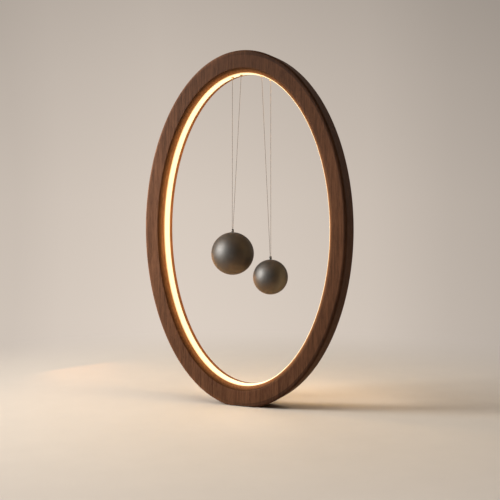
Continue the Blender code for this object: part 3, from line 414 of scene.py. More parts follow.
class Tree:
    """A node tree, with short ways to add what it needs."""

    def __init__(self, owner):
        owner.use_nodes = True
        self.nodes = owner.node_tree.nodes
        self.links = owner.node_tree.links

    def place(self, source="Object"):
        return self.nodes.new("ShaderNodeTexCoord").outputs[source]

    def axis(self, letter, vector=None):
        """One coordinate of a vector, or of the place on the object."""
        parts = self.nodes.new("ShaderNodeSeparateXYZ")
        self.links.new(vector or self.place(), parts.inputs["Vector"])
        return parts.outputs[letter]

    def noise(self, scale, detail=3.0, roughness=0.5, distortion=0.0):
        """Noise over the object's own metres: a scale of 1000 along an axis has 1 mm features."""
        mapping = self.nodes.new("ShaderNodeMapping")
        mapping.inputs["Scale"].default_value = scale
        self.links.new(self.place(), mapping.inputs["Vector"])
        texture = self.nodes.new("ShaderNodeTexNoise")
        texture.inputs["Scale"].default_value = 1.0
        texture.inputs["Detail"].default_value = detail
        texture.inputs["Roughness"].default_value = roughness
        texture.inputs["Distortion"].default_value = distortion
        self.links.new(mapping.outputs["Vector"], texture.inputs["Vector"])
        return texture.outputs["Fac"]

    def ramp(self, factor, stops):
        """Colours or grey levels at their positions along a factor."""
        ramp = self.nodes.new("ShaderNodeValToRGB")
        elements = ramp.color_ramp.elements
        while len(elements) < len(stops):
            elements.new(0.5)
        for element, (position, value) in zip(elements, stops):
            element.position = position
            element.color = (*value, 1) if isinstance(value, tuple) else (value, value, value, 1)
        self.links.new(factor, ramp.inputs["Fac"])
        return ramp.outputs["Color"]

    def fade(self, factor, start, end, low=0.0, high=1.0, smooth=False):
        """Values that go from low to high while the factor goes from start to end."""
        scale = self.nodes.new("ShaderNodeMapRange")
        if smooth:
            scale.interpolation_type = "SMOOTHSTEP"
        settings = {"From Min": start, "From Max": end, "To Min": low, "To Max": high}
        for socket, value in settings.items():
            scale.inputs[socket].default_value = value
        self.links.new(factor, scale.inputs["Value"])
        return scale.outputs["Result"]

    def spread(self, factor, low, high):
        """A noise's middle range stretched over two values."""
        return self.fade(factor, NOISE_LOW, NOISE_HIGH, low, high)

    def two_tone(self, factor, low, high):
        """A noise's middle range as a change from one colour to another."""
        return self.ramp(factor, [(NOISE_LOW, low), (NOISE_HIGH, high)])

    def multiply(self, first, second, share=1.0):
        """The first colour times the second, as far as the share says."""
        mix = self.nodes.new("ShaderNodeMix")
        mix.data_type = "RGBA"
        mix.blend_type = "MULTIPLY"
        sockets = [socket for socket in mix.inputs if socket.type == "RGBA"]
        mix.inputs["Factor"].default_value = share
        for socket, value in zip(sockets, (first, second)):
            self.links.new(value, socket)
        return next(socket for socket in mix.outputs if socket.type == "RGBA")

    def operate(self, kind, operation, values):
        """A node that works out one operation over sockets and plain values."""
        node = self.nodes.new(kind)
        node.operation = operation
        for socket, value in zip(node.inputs, values):
            if isinstance(value, bpy.types.NodeSocket):
                self.links.new(value, socket)
            else:
                socket.default_value = value
        return node

    def maths(self, operation, *values):
        return self.operate("ShaderNodeMath", operation, values).outputs["Value"]

    def times(self, first, *others):
        """The product of sockets and numbers."""
        for other in others:
            first = self.maths("MULTIPLY", first, other)
        return first

    def vector_maths(self, operation, *values):
        return self.operate("ShaderNodeVectorMath", operation, values).outputs["Vector"]

    def length(self, vector):
        return self.operate("ShaderNodeVectorMath", "LENGTH", [vector]).outputs["Value"]

    def ray(self, kind):
        """1 for one kind of ray, such as what the camera sees itself, and 0 for the others."""
        return self.nodes.new("ShaderNodeLightPath").outputs[f"Is {kind} Ray"]

    def blend(self, share, first, second):
        """The first shader, and the second in its place as far as the share goes."""
        mix = self.nodes.new("ShaderNodeMixShader")
        for socket, value in zip(mix.inputs, (share, first, second)):
            self.links.new(value, socket)
        return mix.outputs["Shader"]


class Paint(Tree):
    """A material made from a Principled shader."""

    def __init__(self, name, colour, roughness, metallic=0.0):
        self.material = bpy.data.materials.new(name)
        super().__init__(self.material)
        self.shader = self.nodes["Principled BSDF"]
        self.set("Base Color", (*colour, 1))
        self.set("Roughness", roughness)
        self.set("Metallic", metallic)

    def set(self, socket, value):
        self.shader.inputs[socket].default_value = value

    def feed(self, socket, value):
        self.links.new(value, self.shader.inputs[socket])

    def bump(self, height, distance, strength):
        bump = self.nodes.new("ShaderNodeBump")
        bump.inputs["Distance"].default_value = distance
        bump.inputs["Strength"].default_value = strength
        self.links.new(height, bump.inputs["Height"])
        self.feed("Normal", bump.outputs["Normal"])


# Materials

def ring_reach(paint, height):
    """The square of the distance from the ring's middle, 1 on the outer ellipse."""
    across = paint.maths("POWER", paint.maths("DIVIDE", paint.axis("X"), HALF_WIDTH), 2.0)
    above = paint.maths("DIVIDE", paint.maths("SUBTRACT", height, CENTRE_Z), HALF_HEIGHT)
    return paint.maths("ADD", across, paint.maths("POWER", above, 2.0))


def walnut_darkening_and_shade(paint, height):
    """Darker towards the crown and the foot, and painted shade towards the right."""
    crown_start = CENTRE_Z + CROWN_START
    crown = paint.fade(height, crown_start, RING_HIGH.z, 1.0, CROWN_TONE, smooth=True)
    foot = paint.fade(height, CENTRE_Z, CENTRE_Z - FOOT_END, 1.0, FOOT_TONE, smooth=True)
    # painted shade towards the right
    side = paint.fade(paint.axis("X"), *RIGHT_SHADE_SPAN, 1.0, RIGHT_PAINTED_SHADE, smooth=True)
    return paint.times(crown, foot, side)


def walnut_painted_shade_and_highlight(paint, reach, inner):
    """Painted shade on a line behind the front face, and a painted highlight and shade on the outer
    edge.

    The shade line lies on the inner side, and fainter on the outer one at the right. The highlight
    is on the outer edge at the left, its shade at the right. All of it together is a factor for the
    colour.
    """
    behind = paint.fade(paint.axis("Y"), -HALF_DEPTH, -HALF_DEPTH + SHADING_DEPTH)
    right = paint.fade(paint.axis("X"), *RIGHT_SPAN)
    # painted shade on the bevel's first line and, fainter, on the outer side at the right
    bevel_shade_where = paint.maths("MAXIMUM", inner, paint.times(right, PAINTED_BEVEL_SHADE_RIGHT))
    bevel_shade = paint.times(paint.ramp(behind, PAINTED_BEVEL_SHADE), bevel_shade_where)
    # painted highlight on the outer edge at the left
    highlight = paint.times(
        paint.fade(reach, *HIGHLIGHT_REACH, 0.0, PAINTED_HIGHLIGHT), paint.fade(behind, *HIGHLIGHT_DEPTH, 1.0, 0.0),
        paint.maths("SUBTRACT", 1.0, right),
    )
    # painted shade on the outer edge at the right
    dark = paint.times(
        paint.fade(reach, *SHADE_REACH, 0.0, SHADE), paint.fade(behind, *SHADE_DEPTH, 1.0, 0.0),
        right,
    )
    dark = paint.maths("MAXIMUM", bevel_shade, dark)
    return paint.maths("SUBTRACT", paint.maths("ADD", 1.0, highlight), dark)


def walnut():
    """Oiled walnut sawn along Z: fine fibres and short dark pores, with a painted glow beside the
    light band.
    """
    paint = Paint("walnut_oiled", (0.15, 0.07, 0.04), 0.5)
    paint.set("Specular IOR Level", 0.07)
    broad = paint.noise((45, 45, 2.5), detail=3, distortion=0.4)
    streak = paint.noise((420, 420, 11), detail=4, roughness=0.65, distortion=0.7)
    fibre = paint.noise((900, 900, 60), detail=4, roughness=0.7, distortion=0.3)
    pore = paint.noise((1900, 1900, 150), detail=2)
    base = paint.ramp(broad, [
        (0.28, (0.168, 0.073, 0.035)),
        (0.50, (0.184, 0.080, 0.039)),
        (0.74, (0.204, 0.090, 0.045)),
    ])
    streaks = paint.ramp(streak, [(0.34, 0.78), (0.50, 1.0), (0.68, 1.17)])
    fibres = paint.ramp(fibre, [(0.34, 0.60), (0.54, 1.0), (0.74, 1.30)])
    pores = paint.ramp(pore, [(0.31, 0.45), (0.38, 1.0)])
    height = paint.axis("Z")
    reach = ring_reach(paint, height)
    inner = paint.fade(reach, *INNER_REACH, 1.0, 0.0)
    colour = paint.multiply(base, streaks)
    colour = paint.multiply(colour, fibres, share=0.9)
    colour = paint.multiply(colour, pores, share=0.7)
    colour = paint.multiply(colour, walnut_darkening_and_shade(paint, height))
    colour = paint.multiply(colour, walnut_painted_shade_and_highlight(paint, reach, inner))
    depth = paint.fade(paint.axis("Y"), -HALF_DEPTH, HALF_DEPTH)
    # Painted glow: emission on the inner side that stands in for the band's light on the wood
    glow = paint.multiply(paint.multiply(colour, paint.ramp(depth, WOOD_PAINTED_GLOW)), inner)
    paint.feed("Emission Color", glow)
    paint.set("Emission Strength", WOOD_PAINTED_GLOW_STRENGTH)
    paint.feed("Base Color", colour)
    paint.feed("Roughness", paint.spread(fibre, 0.62, 0.50))
    paint.bump(paint.multiply(fibres, pores), distance=0.00003, strength=0.15)
    return paint.material


def opal():
    """Lit silicone: even along the ring, and warmer where its shoulders turn into the groove."""
    paint = Paint("opal_silicone_lit", (0.50, 0.42, 0.28), 0.42)
    cloud = paint.noise((120, 120, 120), detail=2)
    paint.feed("Roughness", paint.spread(cloud, 0.38, 0.48))
    across = paint.fade(paint.axis("Y"), -BAND_HALF_WIDTH, BAND_HALF_WIDTH)
    paint.feed("Emission Color", paint.ramp(across, [
        (0.0, BAND_EDGE), (0.02, BAND_SHOULDER), (0.08, BAND_CENTRE),
        (0.80, BAND_CENTRE), (0.88, BAND_SHOULDER), (0.97, BAND_EDGE),
    ]))
    paint.set("Emission Strength", 1.0)
    return paint.material


def bronze():
    """Bead-blasted and bronzed aluminium: satin, with a fine tooth and slow tone changes."""
    paint = Paint("bronzed_satin", (0.127, 0.118, 0.106), 0.54, 0.92)
    tone = paint.noise((60, 60, 60), detail=4)
    tooth = paint.noise((5200, 5200, 5200), detail=2)
    paint.feed("Base Color", paint.two_tone(tone, (0.113, 0.105, 0.094), (0.140, 0.130, 0.117)))
    paint.feed("Roughness", paint.spread(tone, 0.51, 0.57))
    paint.bump(tooth, distance=0.00002, strength=0.25)
    return paint.material


def thread_fibre():
    """Waxed twisted thread, darker in patches where the wax is thick, and near the crown."""
    paint = Paint("thread_waxed", (0.22, 0.15, 0.105), 0.7)
    patch = paint.noise((900, 900, 260), detail=3)
    fuzz = paint.noise((9000, 9000, 2500), detail=2)
    tone = paint.two_tone(patch, (0.12, 0.082, 0.058), (0.20, 0.142, 0.102))
    crown = CENTRE_Z + INNER[1]
    dark = paint.fade(paint.axis("Z"), crown - THREAD_DARK_LENGTH, crown, 1.0, THREAD_DARK)
    paint.feed("Base Color", paint.multiply(tone, dark))
    paint.feed("Roughness", paint.spread(patch, 0.6, 0.8))
    paint.bump(fuzz, distance=0.00003, strength=0.4)
    return paint.material


def moulded(name, colour, roughness=0.5):
    """Moulded plastic: a fine spark-eroded texture and faint flow marks."""
    paint = Paint(name, colour, roughness)
    flow = paint.noise((90, 90, 90), detail=2)
    grain = paint.noise((3500, 3500, 3500), detail=2)
    paint.feed("Base Color", paint.two_tone(flow, scaled(colour, MOULDED_DARK), colour))
    paint.feed("Roughness", paint.spread(flow, roughness - 0.05, roughness + 0.05))
    paint.bump(grain, distance=0.00003, strength=0.3)
    return paint.material


def metal(name, colour, roughness):
    """Plain metal with fine machining marks."""
    paint = Paint(name, colour, roughness, 1.0)
    mark = paint.noise((900, 900, 900), detail=3)
    paint.feed("Base Color", paint.two_tone(mark, scaled(colour, METAL_DARK), colour))
    paint.feed("Roughness", paint.spread(mark, roughness - 0.06, roughness + 0.08))
    paint.bump(mark, distance=0.00002, strength=0.2)
    return paint.material


def beech():
    """Plain beech with its grain along the dowels."""
    paint = Paint("beech_plain", (0.62, 0.46, 0.30), 0.6)
    fleck = paint.noise((1200, 60, 1200), detail=3)
    paint.feed("Base Color", paint.two_tone(fleck, (0.50, 0.36, 0.23), (0.66, 0.50, 0.33)))
    paint.bump(fleck, distance=0.00005, strength=0.3)
    return paint.material


def rubber():
    """Matt black rubber with a little dust on it."""
    paint = Paint("rubber_matt", (0.028, 0.027, 0.026), 0.85)
    dust = paint.noise((700, 700, 700), detail=4)
    paint.feed("Base Color", paint.ramp(dust, [
        (0.35, (0.022, 0.021, 0.020)),
        (0.75, (0.045, 0.043, 0.040)),
    ]))
    paint.bump(dust, distance=0.00006, strength=0.4)
    return paint.material


MATERIALS = {
    "walnut": walnut(),
    "opal_silicone": opal(),
    "tape": moulded("tape_white", (0.82, 0.80, 0.73)),
    "bronzed_aluminium": bronze(),
    "thread": thread_fibre(),
    "opal_nylon": moulded("opal_nylon_moulded", (0.34, 0.24, 0.15), 0.45),
    "steel": metal("steel_plain", (0.56, 0.56, 0.55), 0.34),
    "magnet": metal("nickel_plate", (0.66, 0.65, 0.62), 0.22),
    "black_plastic": moulded("black_moulded", (0.03, 0.03, 0.03)),
    "red_plastic": moulded("red_moulded", (0.45, 0.05, 0.04), 0.45),
    "insulated_wire": moulded("wire_insulation", (0.50, 0.09, 0.05), 0.45),
    "board_green": moulded("board_lacquer", (0.03, 0.16, 0.07), 0.4),
    "cell_wrap": moulded("cell_wrap_film", (0.10, 0.22, 0.42), 0.35),
    "rubber": rubber(),
    "beech": beech(),
}
NODE_SLOTS = {part["node"]: part["material_slot"] for part in frame["record"]["subparts"]}


def finish_piece(piece, slot, body, *replaced):
    """Gives a new piece its material, its body and the solids that it stands for."""
    piece.data.materials.clear()
    piece.data.materials.append(MATERIALS[slot])
    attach(piece, body)
    if replaced:
        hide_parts(*replaced)


def dress_solids():
    """The solids that stay visible or hidden inside keep their shape and get these materials."""
    for name, node in frame["nodes"].items():
        node.data.materials.clear()
        node.data.materials.append(MATERIALS[NODE_SLOTS[name]])


# Ring and light band

def half_section(side):
    """The wooden half in front for side -1, behind for side 1: outline in (ellipse, offset, y).

    Towards the opening the front half has a wide bevel from its face down to the groove, and the
    rear half is square with a small rounding.
    """
    face = HALF_DEPTH
    floor = (GROOVE_DEPTH, GROOVE_HALF_WIDTH)
    lip = (0, GROOVE_HALF_WIDTH)
    points = [(GROOVE_DEPTH, SEAM), floor]
    if side < 0:
        low, high = (0, GROOVE_HALF_WIDTH + BEVEL_LIP), (BEVEL_WIDTH, face)
        points += eased(floor, lip, low, LIP_EDGE / 2)
        points += eased(lip, low, high, LIP_EDGE / 2)
        points += eased(low, high, (2 * BEVEL_WIDTH, face), FACE_EDGE)
    else:
        centre = (REAR_INNER_EDGE, face - REAR_INNER_EDGE)
        points += eased(floor, lip, (0, face), LIP_EDGE)
        points += arc(centre, REAR_INNER_EDGE, 180, 90, ROUNDING_STEPS)
        points.append((REAR_INNER_EDGE + FACE_EDGE, face))
    outside = [(-OUTER_EDGE - FACE_EDGE, face)]
    outside += arc((-OUTER_EDGE, face - OUTER_EDGE), OUTER_EDGE, 90, 0, ROUNDING_STEPS)
    outside += [(0, face - OUTER_EDGE - FACE_EDGE), (0, SEAM)]
    section = [(INNER, *spot) for spot in points] + [(OUTER, *spot) for spot in outside]
    return [(axes, offset, side * y) for axes, offset, y in section]


def flatten_foot(thing):
    """Cuts the ring off level at the foot, closes the cut and rounds its edge."""
    shape = bmesh.new()
    shape.from_mesh(thing.data)
    bmesh.ops.bisect_plane(
        shape, geom=shape.verts[:] + shape.edges[:] + shape.faces[:],
        plane_co=(0, 0, FOOT_Z), plane_no=(0, 0, 1), clear_inner=True,
    )
    rim = [edge for edge in shape.edges if edge.is_boundary]
    bmesh.ops.contextual_create(shape, geom=rim)
    bmesh.ops.bevel(
        shape, geom=rim, offset=FOOT_EDGE, segments=FOOT_EDGE_STEPS, profile=0.5,
        affect="EDGES", clamp_overlap=True,
    )
    shape.to_mesh(thing.data)
    shape.free()
    return tidy_normals(thing)


def counterbores():
    """A cutter for each screw's counterbore, with a small chamfer at its mouth."""
    radius, chamfer = COUNTERBORE_RADIUS, COUNTERBORE_CHAMFER
    for name in SCREWS:
        low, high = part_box(name)
        centre = ((low.x + high.x) / 2, HALF_DEPTH, (low.z + high.z) / 2)
        depth = HALF_DEPTH - low.y
        yield lathe(name + "_space", [
            (0, OVERRUN), (radius + chamfer + OVERRUN, OVERRUN), (radius, -chamfer),
            (radius, -depth), (0, -depth),
        ], centre, axis=REARWARDS)


def port_slot():
    """A cutter with rounded ends for the charging port's recess."""
    low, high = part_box("charging_port")
    slot = box_mesh(
        "port_space",
        (low.x - GAP, 0, low.z - GAP),
        (high.x + GAP, HALF_DEPTH + OVERRUN, high.z + GAP),
    )
    rounded = bmesh.new()
    rounded.from_mesh(slot.data)
    along = [e for e in rounded.edges if abs(e.verts[0].co.y - e.verts[1].co.y) > OVERRUN]
    bmesh.ops.bevel(
        rounded, geom=along, offset=(high.z - low.z) * PORT_ROUNDING, segments=ROUNDING_STEPS,
        profile=0.5, affect="EDGES",
    )
    rounded.to_mesh(slot.data)
    rounded.free()
    return slot


def ring():
    """Both wooden halves, the rear one with its counterbores and the port's recess."""
    front = flatten_foot(swept_ring("walnut_front_half", half_section(-1)))
    rear = flatten_foot(swept_ring("walnut_rear_half", half_section(1)))
    cut(rear, [*counterbores(), port_slot()])
    finish_piece(front, "walnut", "ring", "front_ring")
    finish_piece(rear, "walnut", "ring", "rear_ring")


def light_band():
    """The opal band: domed towards the opening, with a hole for each ferrule."""
    dome = []
    for i in range(BAND_STEPS + 1):
        across = -1 + 2 * i / BAND_STEPS
        rise = (1 - abs(across) ** BAND_DOME[0]) ** BAND_DOME[1]
        dome.append((INNER, -BAND_PROUD * rise, across * BAND_HALF_WIDTH))
    back = [(INNER, BAND_BACK, BAND_HALF_WIDTH), (INNER, BAND_BACK, -BAND_HALF_WIDTH)]
    band = swept_ring("opal_band", dome + back)
    radius = FERRULE_RADIUS + BAND_HOLE_GAP
    holes = []
    for name in FERRULES:
        low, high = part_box(name)
        holes.append(lathe(name + "_space", [
            (0, high.z), (radius, high.z), (radius, low.z - OVERRUN), (0, low.z - OVERRUN),
        ], ((low.x + high.x) / 2, 0, 0)))
    cut(band, holes)
    finish_piece(band, "opal_silicone", "ring", "diffuser")


# Ferrules and threads

def ferrules():
    """The eyelets, each with a flange above and a seat inside for the thread's bead."""
    radius, edge = FERRULE_RADIUS, FERRULE_EDGE
    bore = FERRULE_SEAT + FERRULE_SEAT_STEP
    for name, body in FERRULES.items():
        low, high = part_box(name)
        centre = ((low.x + high.x) / 2, 0, low.z)
        flange = (high.x - low.x) / 2
        top = high.z - low.z
        shoulder = top - FERRULE_FLANGE
        profile = [
            (flange, top), (flange, shoulder), (radius, shoulder), (radius, edge),
            (radius - edge / 3, edge / 3), (radius - edge, 0),
            (FERRULE_MOUTH + edge / 3, 0), (FERRULE_MOUTH, edge / 3), (FERRULE_SEAT, FERRULE_LIP),
            (bore, FERRULE_LIP + FERRULE_SEAT_STEP), (bore, top),
        ]
        piece = lathe(name + "_turned", profile, centre, closed=True)
        finish_piece(piece, "opal_nylon", body, name)


def twisted_thread(name, top, bottom, radius):
    """Three plies twisted together: a three-lobed section that turns as it goes along."""
    top, bottom = Vector(top), Vector(bottom)
    along = bottom - top
    place = Matrix.Translation(top) @ along.to_track_quat("Z", "Y").to_matrix().to_4x4()
    points, steps = THREAD_POINTS, max(2, round(along.length / THREAD_STEP))
    verts, faces = [], []
    for i in range(steps + 1):
        run = along.length * i / steps
        twist = 2 * math.pi * run / THREAD_TURN
        for j in range(points):
            turn = 2 * math.pi * j / points
            reach = radius * (1 - THREAD_PLY_SHARE * (0.5 - 0.5 * math.cos(THREAD_PLIES * turn)))
            verts.append((reach * math.cos(turn + twist), reach * math.sin(turn + twist), run))
    for i in range(steps):
        here, there = i * points, (i + 1) * points
        for j in range(points):
            k = (j + 1) % points
            faces.append((here + j, here + k, there + k, there + j))
    faces.append(list(range(points)))
    faces.append(list(reversed(range(steps * points, (steps + 1) * points))))
    thing = from_lists(name, verts, faces)
    thing.data.transform(place)
    return tidy_normals(thing, THREAD_SHARP)


def threads(ball_name, inward):
    """The outer thread hangs almost upright, and the inner one leans to meet it."""
    for part, body in (("outer", "line"), ("inner", "second_line")):
        node = f"{ball_name}_{part}_thread"
        low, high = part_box(node)
        radius = (high.y - low.y) / 2
        ends = [low.x + radius, high.x - radius]
        top_x, bottom_x = ends[::-1] if inward > 0 else ends
        top, bottom = (top_x, 0, high.z), (bottom_x, 0, low.z)
        piece = twisted_thread(f"{ball_name}_{part}_twist", top, bottom, radius)
        finish_piece(piece, "thread", f"{ball_name}_{body}", node)


# Balls

def ball(name):
    """The turned ball with its stepped bore, its plug with a slot, and the cone on its top."""
    low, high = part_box(name + "_ball")
    radius = (high.x - low.x) / 2
    x = (high.x + low.x) / 2
    nipple_low, nipple_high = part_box(name + "_nipple")
    centre = (x, 0, nipple_low.z - GAP - radius)
    top = math.degrees(math.acos(PIN_HOLE_RADIUS / radius))
    bottom = -math.degrees(math.acos((PLUG_HOLE_RADIUS + BALL_EDGE) / radius))
    outside = arc((0, 0), radius, top, bottom, BALL_STEPS)
    floor_z = outside[-1][1]
    profile = outside + [
        (PLUG_HOLE_RADIUS, floor_z + BALL_EDGE),
        (PLUG_HOLE_RADIUS, -radius + PLUG_HOLE_DEPTH),
        (PIN_HOLE_RADIUS, -radius + PLUG_HOLE_DEPTH),
    ]
    turned = name + "_ball_turned"
    body = lathe(turned, profile, centre, BALL_STEPS, closed=True, sharp=BALL_SHARP)
    finish_piece(body, "bronzed_aluminium", name + "_weight", name + "_ball")
    plug(name, centre, radius)
    nipple(name, x, nipple_low.z, nipple_high.z)


def plug(name, centre, radius):
    """The plug that closes the ball from below, with a slot to turn it by."""
    reach = PLUG_HOLE_RADIUS - GAP
    inside = -radius + PLUG_HOLE_DEPTH - GAP
    low = -math.degrees(math.acos((reach - BALL_EDGE) / radius))
    dome = arc((0, 0), radius, low, -90, PLUG_DOME_STEPS)
    dome[-1] = (0, dome[-1][1])
    profile = [(0, inside), (reach, inside), (reach, dome[0][1] + BALL_EDGE)] + dome
    piece = lathe(name + "_plug_turned", profile, centre, PLUG_STEPS)
    half = PLUG_SLOT_WIDTH / 2
    slot = box_mesh(
        name + "_slot_space",
        (centre[0] - radius, -half, centre[2] - radius - OVERRUN),
        (centre[0] + radius, half, centre[2] - radius + PLUG_SLOT_DEPTH),
    )
    cut(piece, [slot])
    finish_piece(piece, "bronzed_aluminium", name + "_weight", name + "_plug")


def nipple(name, x, low, high):
    """A small waisted cone with a bore at its tip for the two threads."""
    height, edge = high - low, NIPPLE_EDGE
    base, tip = NIPPLE_BASE_RADIUS, NIPPLE_TIP_RADIUS
    side = []
    for i in range(NIPPLE_STEPS + 1):
        share = i / NIPPLE_STEPS
        waist = NIPPLE_WAIST * math.sin(math.pi * share)
        level = height - edge - (height - 2 * edge) * share
        side.append((tip + (base - tip) * share - waist, level))
    profile = [
        (0, height - NIPPLE_BORE_DEPTH), (NIPPLE_BORE_RADIUS, height - NIPPLE_BORE_DEPTH),
        (NIPPLE_BORE_RADIUS, height - edge / 2), (NIPPLE_BORE_RADIUS + edge / 2, height),
        (tip - edge, height), *side, (base - edge, 0), (0, 0),
    ]
    piece = lathe(name + "_nipple_turned", profile, (x, 0, low))
    finish_piece(piece, "bronzed_aluminium", name + "_line", name + "_nipple")


# Fasteners

def screws():
    """Cap screws with a hexagon socket, seen in the counterbores behind."""
    shank = SCREW_SHANK_RADIUS
    for name in SCREWS:
        low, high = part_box(name)
        centre = ((low.x + high.x) / 2, high.y, (low.z + high.z) / 2)
        head, length = (high.x - low.x) / 2, high.y - low.y
        piece = lathe(name + "_turned", [
            (0, 0), (head - SCREW_CHAMFER, 0), (head, -SCREW_CHAMFER), (head, -SCREW_HEAD_HEIGHT),
            (shank, -SCREW_HEAD_HEIGHT), (shank, -length + shank), (0, -length),
        ], centre, axis=REARWARDS)
        socket = lathe(name + "_socket", [
            (0, OVERRUN), (SOCKET_RADIUS, OVERRUN), (SOCKET_RADIUS, -SOCKET_DEPTH),
            (0, -SOCKET_DEPTH - SOCKET_RADIUS / 4),
        ], centre, steps=SOCKET_SIDES, axis=REARWARDS)
        cut(piece, [socket])
        finish_piece(piece, "steel", "ring", name)


# Backdrop and floor

def seen_directly(tree, mirrored):
    """1 for what the camera sees, also through glass, 0 for light on things.

    What is seen in a reflection gets the mirrored share.
    """
    straight = tree.maths("MAXIMUM", tree.ray("Camera"), tree.ray("Transmission"))
    return tree.maths("MAXIMUM", straight, tree.times(tree.ray("Glossy"), mirrored))


def backdrop(tree, kind, direction, plain):
    """A shader of the backdrop: less bright towards the top and the right, or plain."""
    across = tree.fade(tree.axis("X", direction), *WALL_SPAN)
    up = tree.fade(tree.axis("Z", direction), *WALL_RISE)
    level = tree.times(tree.ramp(across, WALL_ACROSS), tree.ramp(up, WALL_UP))
    shaded = tree.times(level, tree.maths("SUBTRACT", 1.0, plain))
    shader = tree.nodes.new(kind)
    shader.inputs["Color"].default_value = (*WALL, 1)
    brightness = tree.maths("ADD", shaded, tree.times(WALL_PLAIN, plain))
    tree.links.new(brightness, shader.inputs["Strength"])
    return shader.outputs[0]


def stage():
    """A plain pale floor that fades into the backdrop's colour away from the lamp.

    The camera sees through it from below.
    """
    paint = Paint("stage_plain", FLOOR, 0.9)
    speck = paint.noise((25, 25, 25), detail=5, roughness=0.6)
    tone = paint.two_tone(speck, *(scaled(FLOOR, factor) for factor in FLOOR_SPECK))
    dim = paint.ramp(paint.ray("Glossy"), [(0.0, 1.0), (1.0, FLOOR_MIRRORED)])
    paint.feed("Base Color", paint.multiply(tone, dim))
    sight = paint.vector_maths("SUBTRACT", paint.place(), CAMERA_PLACE)
    plain = paint.fade(paint.axis("Y"), *FLOOR_PLAIN_SPAN, smooth=True)
    direction = paint.vector_maths("NORMALIZE", sight)
    wall = backdrop(paint, "ShaderNodeEmission", direction, plain)
    far = paint.fade(paint.length(paint.place()), *FLOOR_FADE, smooth=True)
    far = paint.times(far, seen_directly(paint, FLOOR_FADE_MIRRORED))
    above = paint.blend(far, paint.shader.outputs["BSDF"], wall)
    under = paint.nodes.new("ShaderNodeNewGeometry").outputs["Backfacing"]
    clear = paint.nodes.new("ShaderNodeBsdfTransparent").outputs["BSDF"]
    surface = paint.blend(paint.times(under, paint.ray("Camera")), above, clear)
    paint.links.new(surface, paint.nodes["Material Output"].inputs["Surface"])
    ends = (-FLOOR_REACH, FLOOR_REACH)
    floor = from_lists("stage_floor", [(x, y, 0) for x in ends for y in ends], [(0, 2, 3, 1)])
    floor.data.materials.append(paint.material)
    floor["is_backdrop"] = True


def studio():
    """A pale backdrop, and a weak warm light from all round, less of it from the right.

    Of what reflections show, only the part behind the lamp is the backdrop.
    """
    world = bpy.data.worlds.new("studio")
    bpy.context.scene.world = world
    tree = Tree(world)
    direction = tree.place("Generated")
    light = tree.nodes["Background"]
    rightwards = tree.fade(tree.axis("X", direction), *AMBIENT_SPAN, smooth=True)
    ambient = tree.ramp(rightwards, [(0.0, AMBIENT_LEFT), (1.0, AMBIENT_RIGHT)])
    tree.links.new(ambient, light.inputs["Color"])
    plain = tree.fade(tree.axis("Y", direction), *WALL_PLAIN_SPAN, smooth=True)
    wall = backdrop(tree, "ShaderNodeBackground", direction, plain)
    behind = tree.fade(tree.axis("Y", direction), *WALL_MIRRORED_SPAN, smooth=True)
    both = tree.blend(seen_directly(tree, behind), light.outputs["Background"], wall)
    tree.links.new(both, tree.nodes["World Output"].inputs["Surface"])


# Lamps and camera

def rectangle_lamp(name, size, power, colour):
    data = bpy.data.lights.new(name, "AREA")
    data.shape = "RECTANGLE"
    data.size, data.size_y = size
    data.energy = power
    data.color = colour
    return link(bpy.data.objects.new(name, data))


def room_lamp(name, place, size, power, target, colour):
    """A lamp that faces its target."""
    lamp = rectangle_lamp(name, size, power, colour)
    lamp.location = place
    lamp.rotation_euler = (Vector(target) - Vector(place)).to_track_quat("-Z", "Y").to_euler()
    return lamp


def strip(name, start, end, power, colour):
    """A thin light along the band that faces the opening.

    It is too close to the band to be seen apart from it, so it shows only by what it lights.
    """
    along = (end - start).normalized()
    inwards = Vector((-along.z, 0, along.x))
    lamp = rectangle_lamp(name, ((end - start).length, 2 * BAND_HALF_WIDTH), power, colour)
    axes = Matrix((along, along.cross(inwards), -inwards)).transposed().to_4x4()
    lamp.matrix_world = Matrix.Translation((start + end) / 2) @ axes
    lamp.visible_camera = False
    return lamp


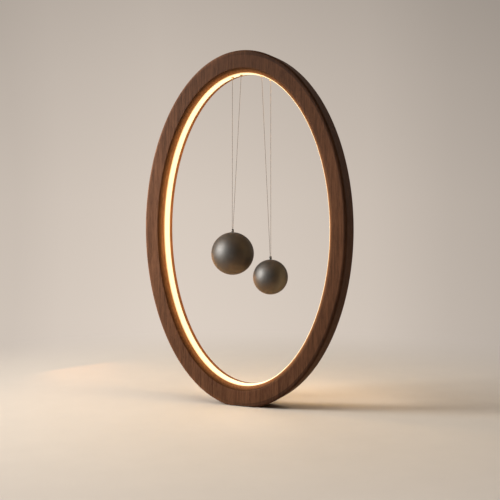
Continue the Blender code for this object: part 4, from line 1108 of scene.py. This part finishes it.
def band_glow():
    """What the band sheds on floor and threads and, in a deeper colour, what the balls mirror."""
    half_width, half_height = (axis - STRIP_PROUD for axis in INNER)
    points = []
    for i in range(STRIP_STATIONS + 1):
        turn = 2 * math.pi * i / STRIP_STATIONS
        points.append(Vector((
            half_width * math.cos(turn), 0, CENTRE_Z + half_height * math.sin(turn),
        )))
    for i, (start, end) in enumerate(zip(points, points[1:])):
        shed = strip(f"glow_{i}", start, end, SHED_POWER, SHED_COLOUR)
        shed.visible_glossy = False
        share = (start.x + end.x) / 4 / INNER[0] + 0.5  # 0 at the left, 1 at the right
        power = MIRRORED_POWERS[0] * (1 - share) + MIRRORED_POWERS[1] * share
        seen = strip(f"glow_mirrored_{i}", start, end, power, MIRRORED_COLOUR)
        seen.visible_diffuse = False


def lights():
    """Lamps that light things but don't show in reflections, and two that show only there."""
    middle = (0, 0, CENTRE_Z)
    key = room_lamp("key", KEY_PLACE, KEY_SIZE, KEY_POWER, middle, KEY_COLOUR)
    key.visible_glossy = False
    sheen = room_lamp("sheen", SHEEN_PLACE, KEY_SIZE, SHEEN_POWER, middle, SHEEN_COLOUR)
    sheen.visible_diffuse = False
    top = room_lamp("top", TOP_PLACE, TOP_SIZE, TOP_POWER, middle, KEY_COLOUR)
    top.visible_glossy = False
    rear = room_lamp("rear", REAR_PLACE, REAR_SIZE, REAR_POWER, middle, KEY_COLOUR)
    rear.visible_glossy = False
    below = (*FOOT_GLOW_PLACE[:2], 0)
    foot = room_lamp(
        "foot_glow", FOOT_GLOW_PLACE, FOOT_GLOW_SIZE, FOOT_GLOW_POWER, below, FOOT_GLOW_COLOUR,
    )
    foot.visible_glossy = False
    foot.visible_camera = False
    rim = room_lamp("rim", RIM_PLACE, RIM_SIZE, RIM_POWER, RIM_AIM, MIRRORED_COLOUR)
    rim.visible_diffuse = False
    rim.visible_camera = False
    band_glow()


def camera():
    data = bpy.data.cameras.new("camera")
    data.sensor_width = CAMERA_SENSOR
    data.lens = CAMERA_LENS
    data.clip_start = CAMERA_CLIP
    view = link(bpy.data.objects.new("camera", data))
    view.location = CAMERA_PLACE
    view.rotation_euler = (math.radians(90 + CAMERA_PITCH), 0, math.radians(CAMERA_TURN))
    bpy.context.scene.camera = view


dress_solids()
ring()
light_band()
ferrules()
for which, inward in (("large", 1), ("small", -1)):
    threads(which, inward)
    ball(which)
screws()
stage()
studio()
lights()
camera()
bpy.context.scene.view_settings.view_transform = "Standard"

boxes = {"cad": CAD_BOX, "visual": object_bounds()}
{name: [list(corner) for corner in corners] for name, corners in boxes.items()}
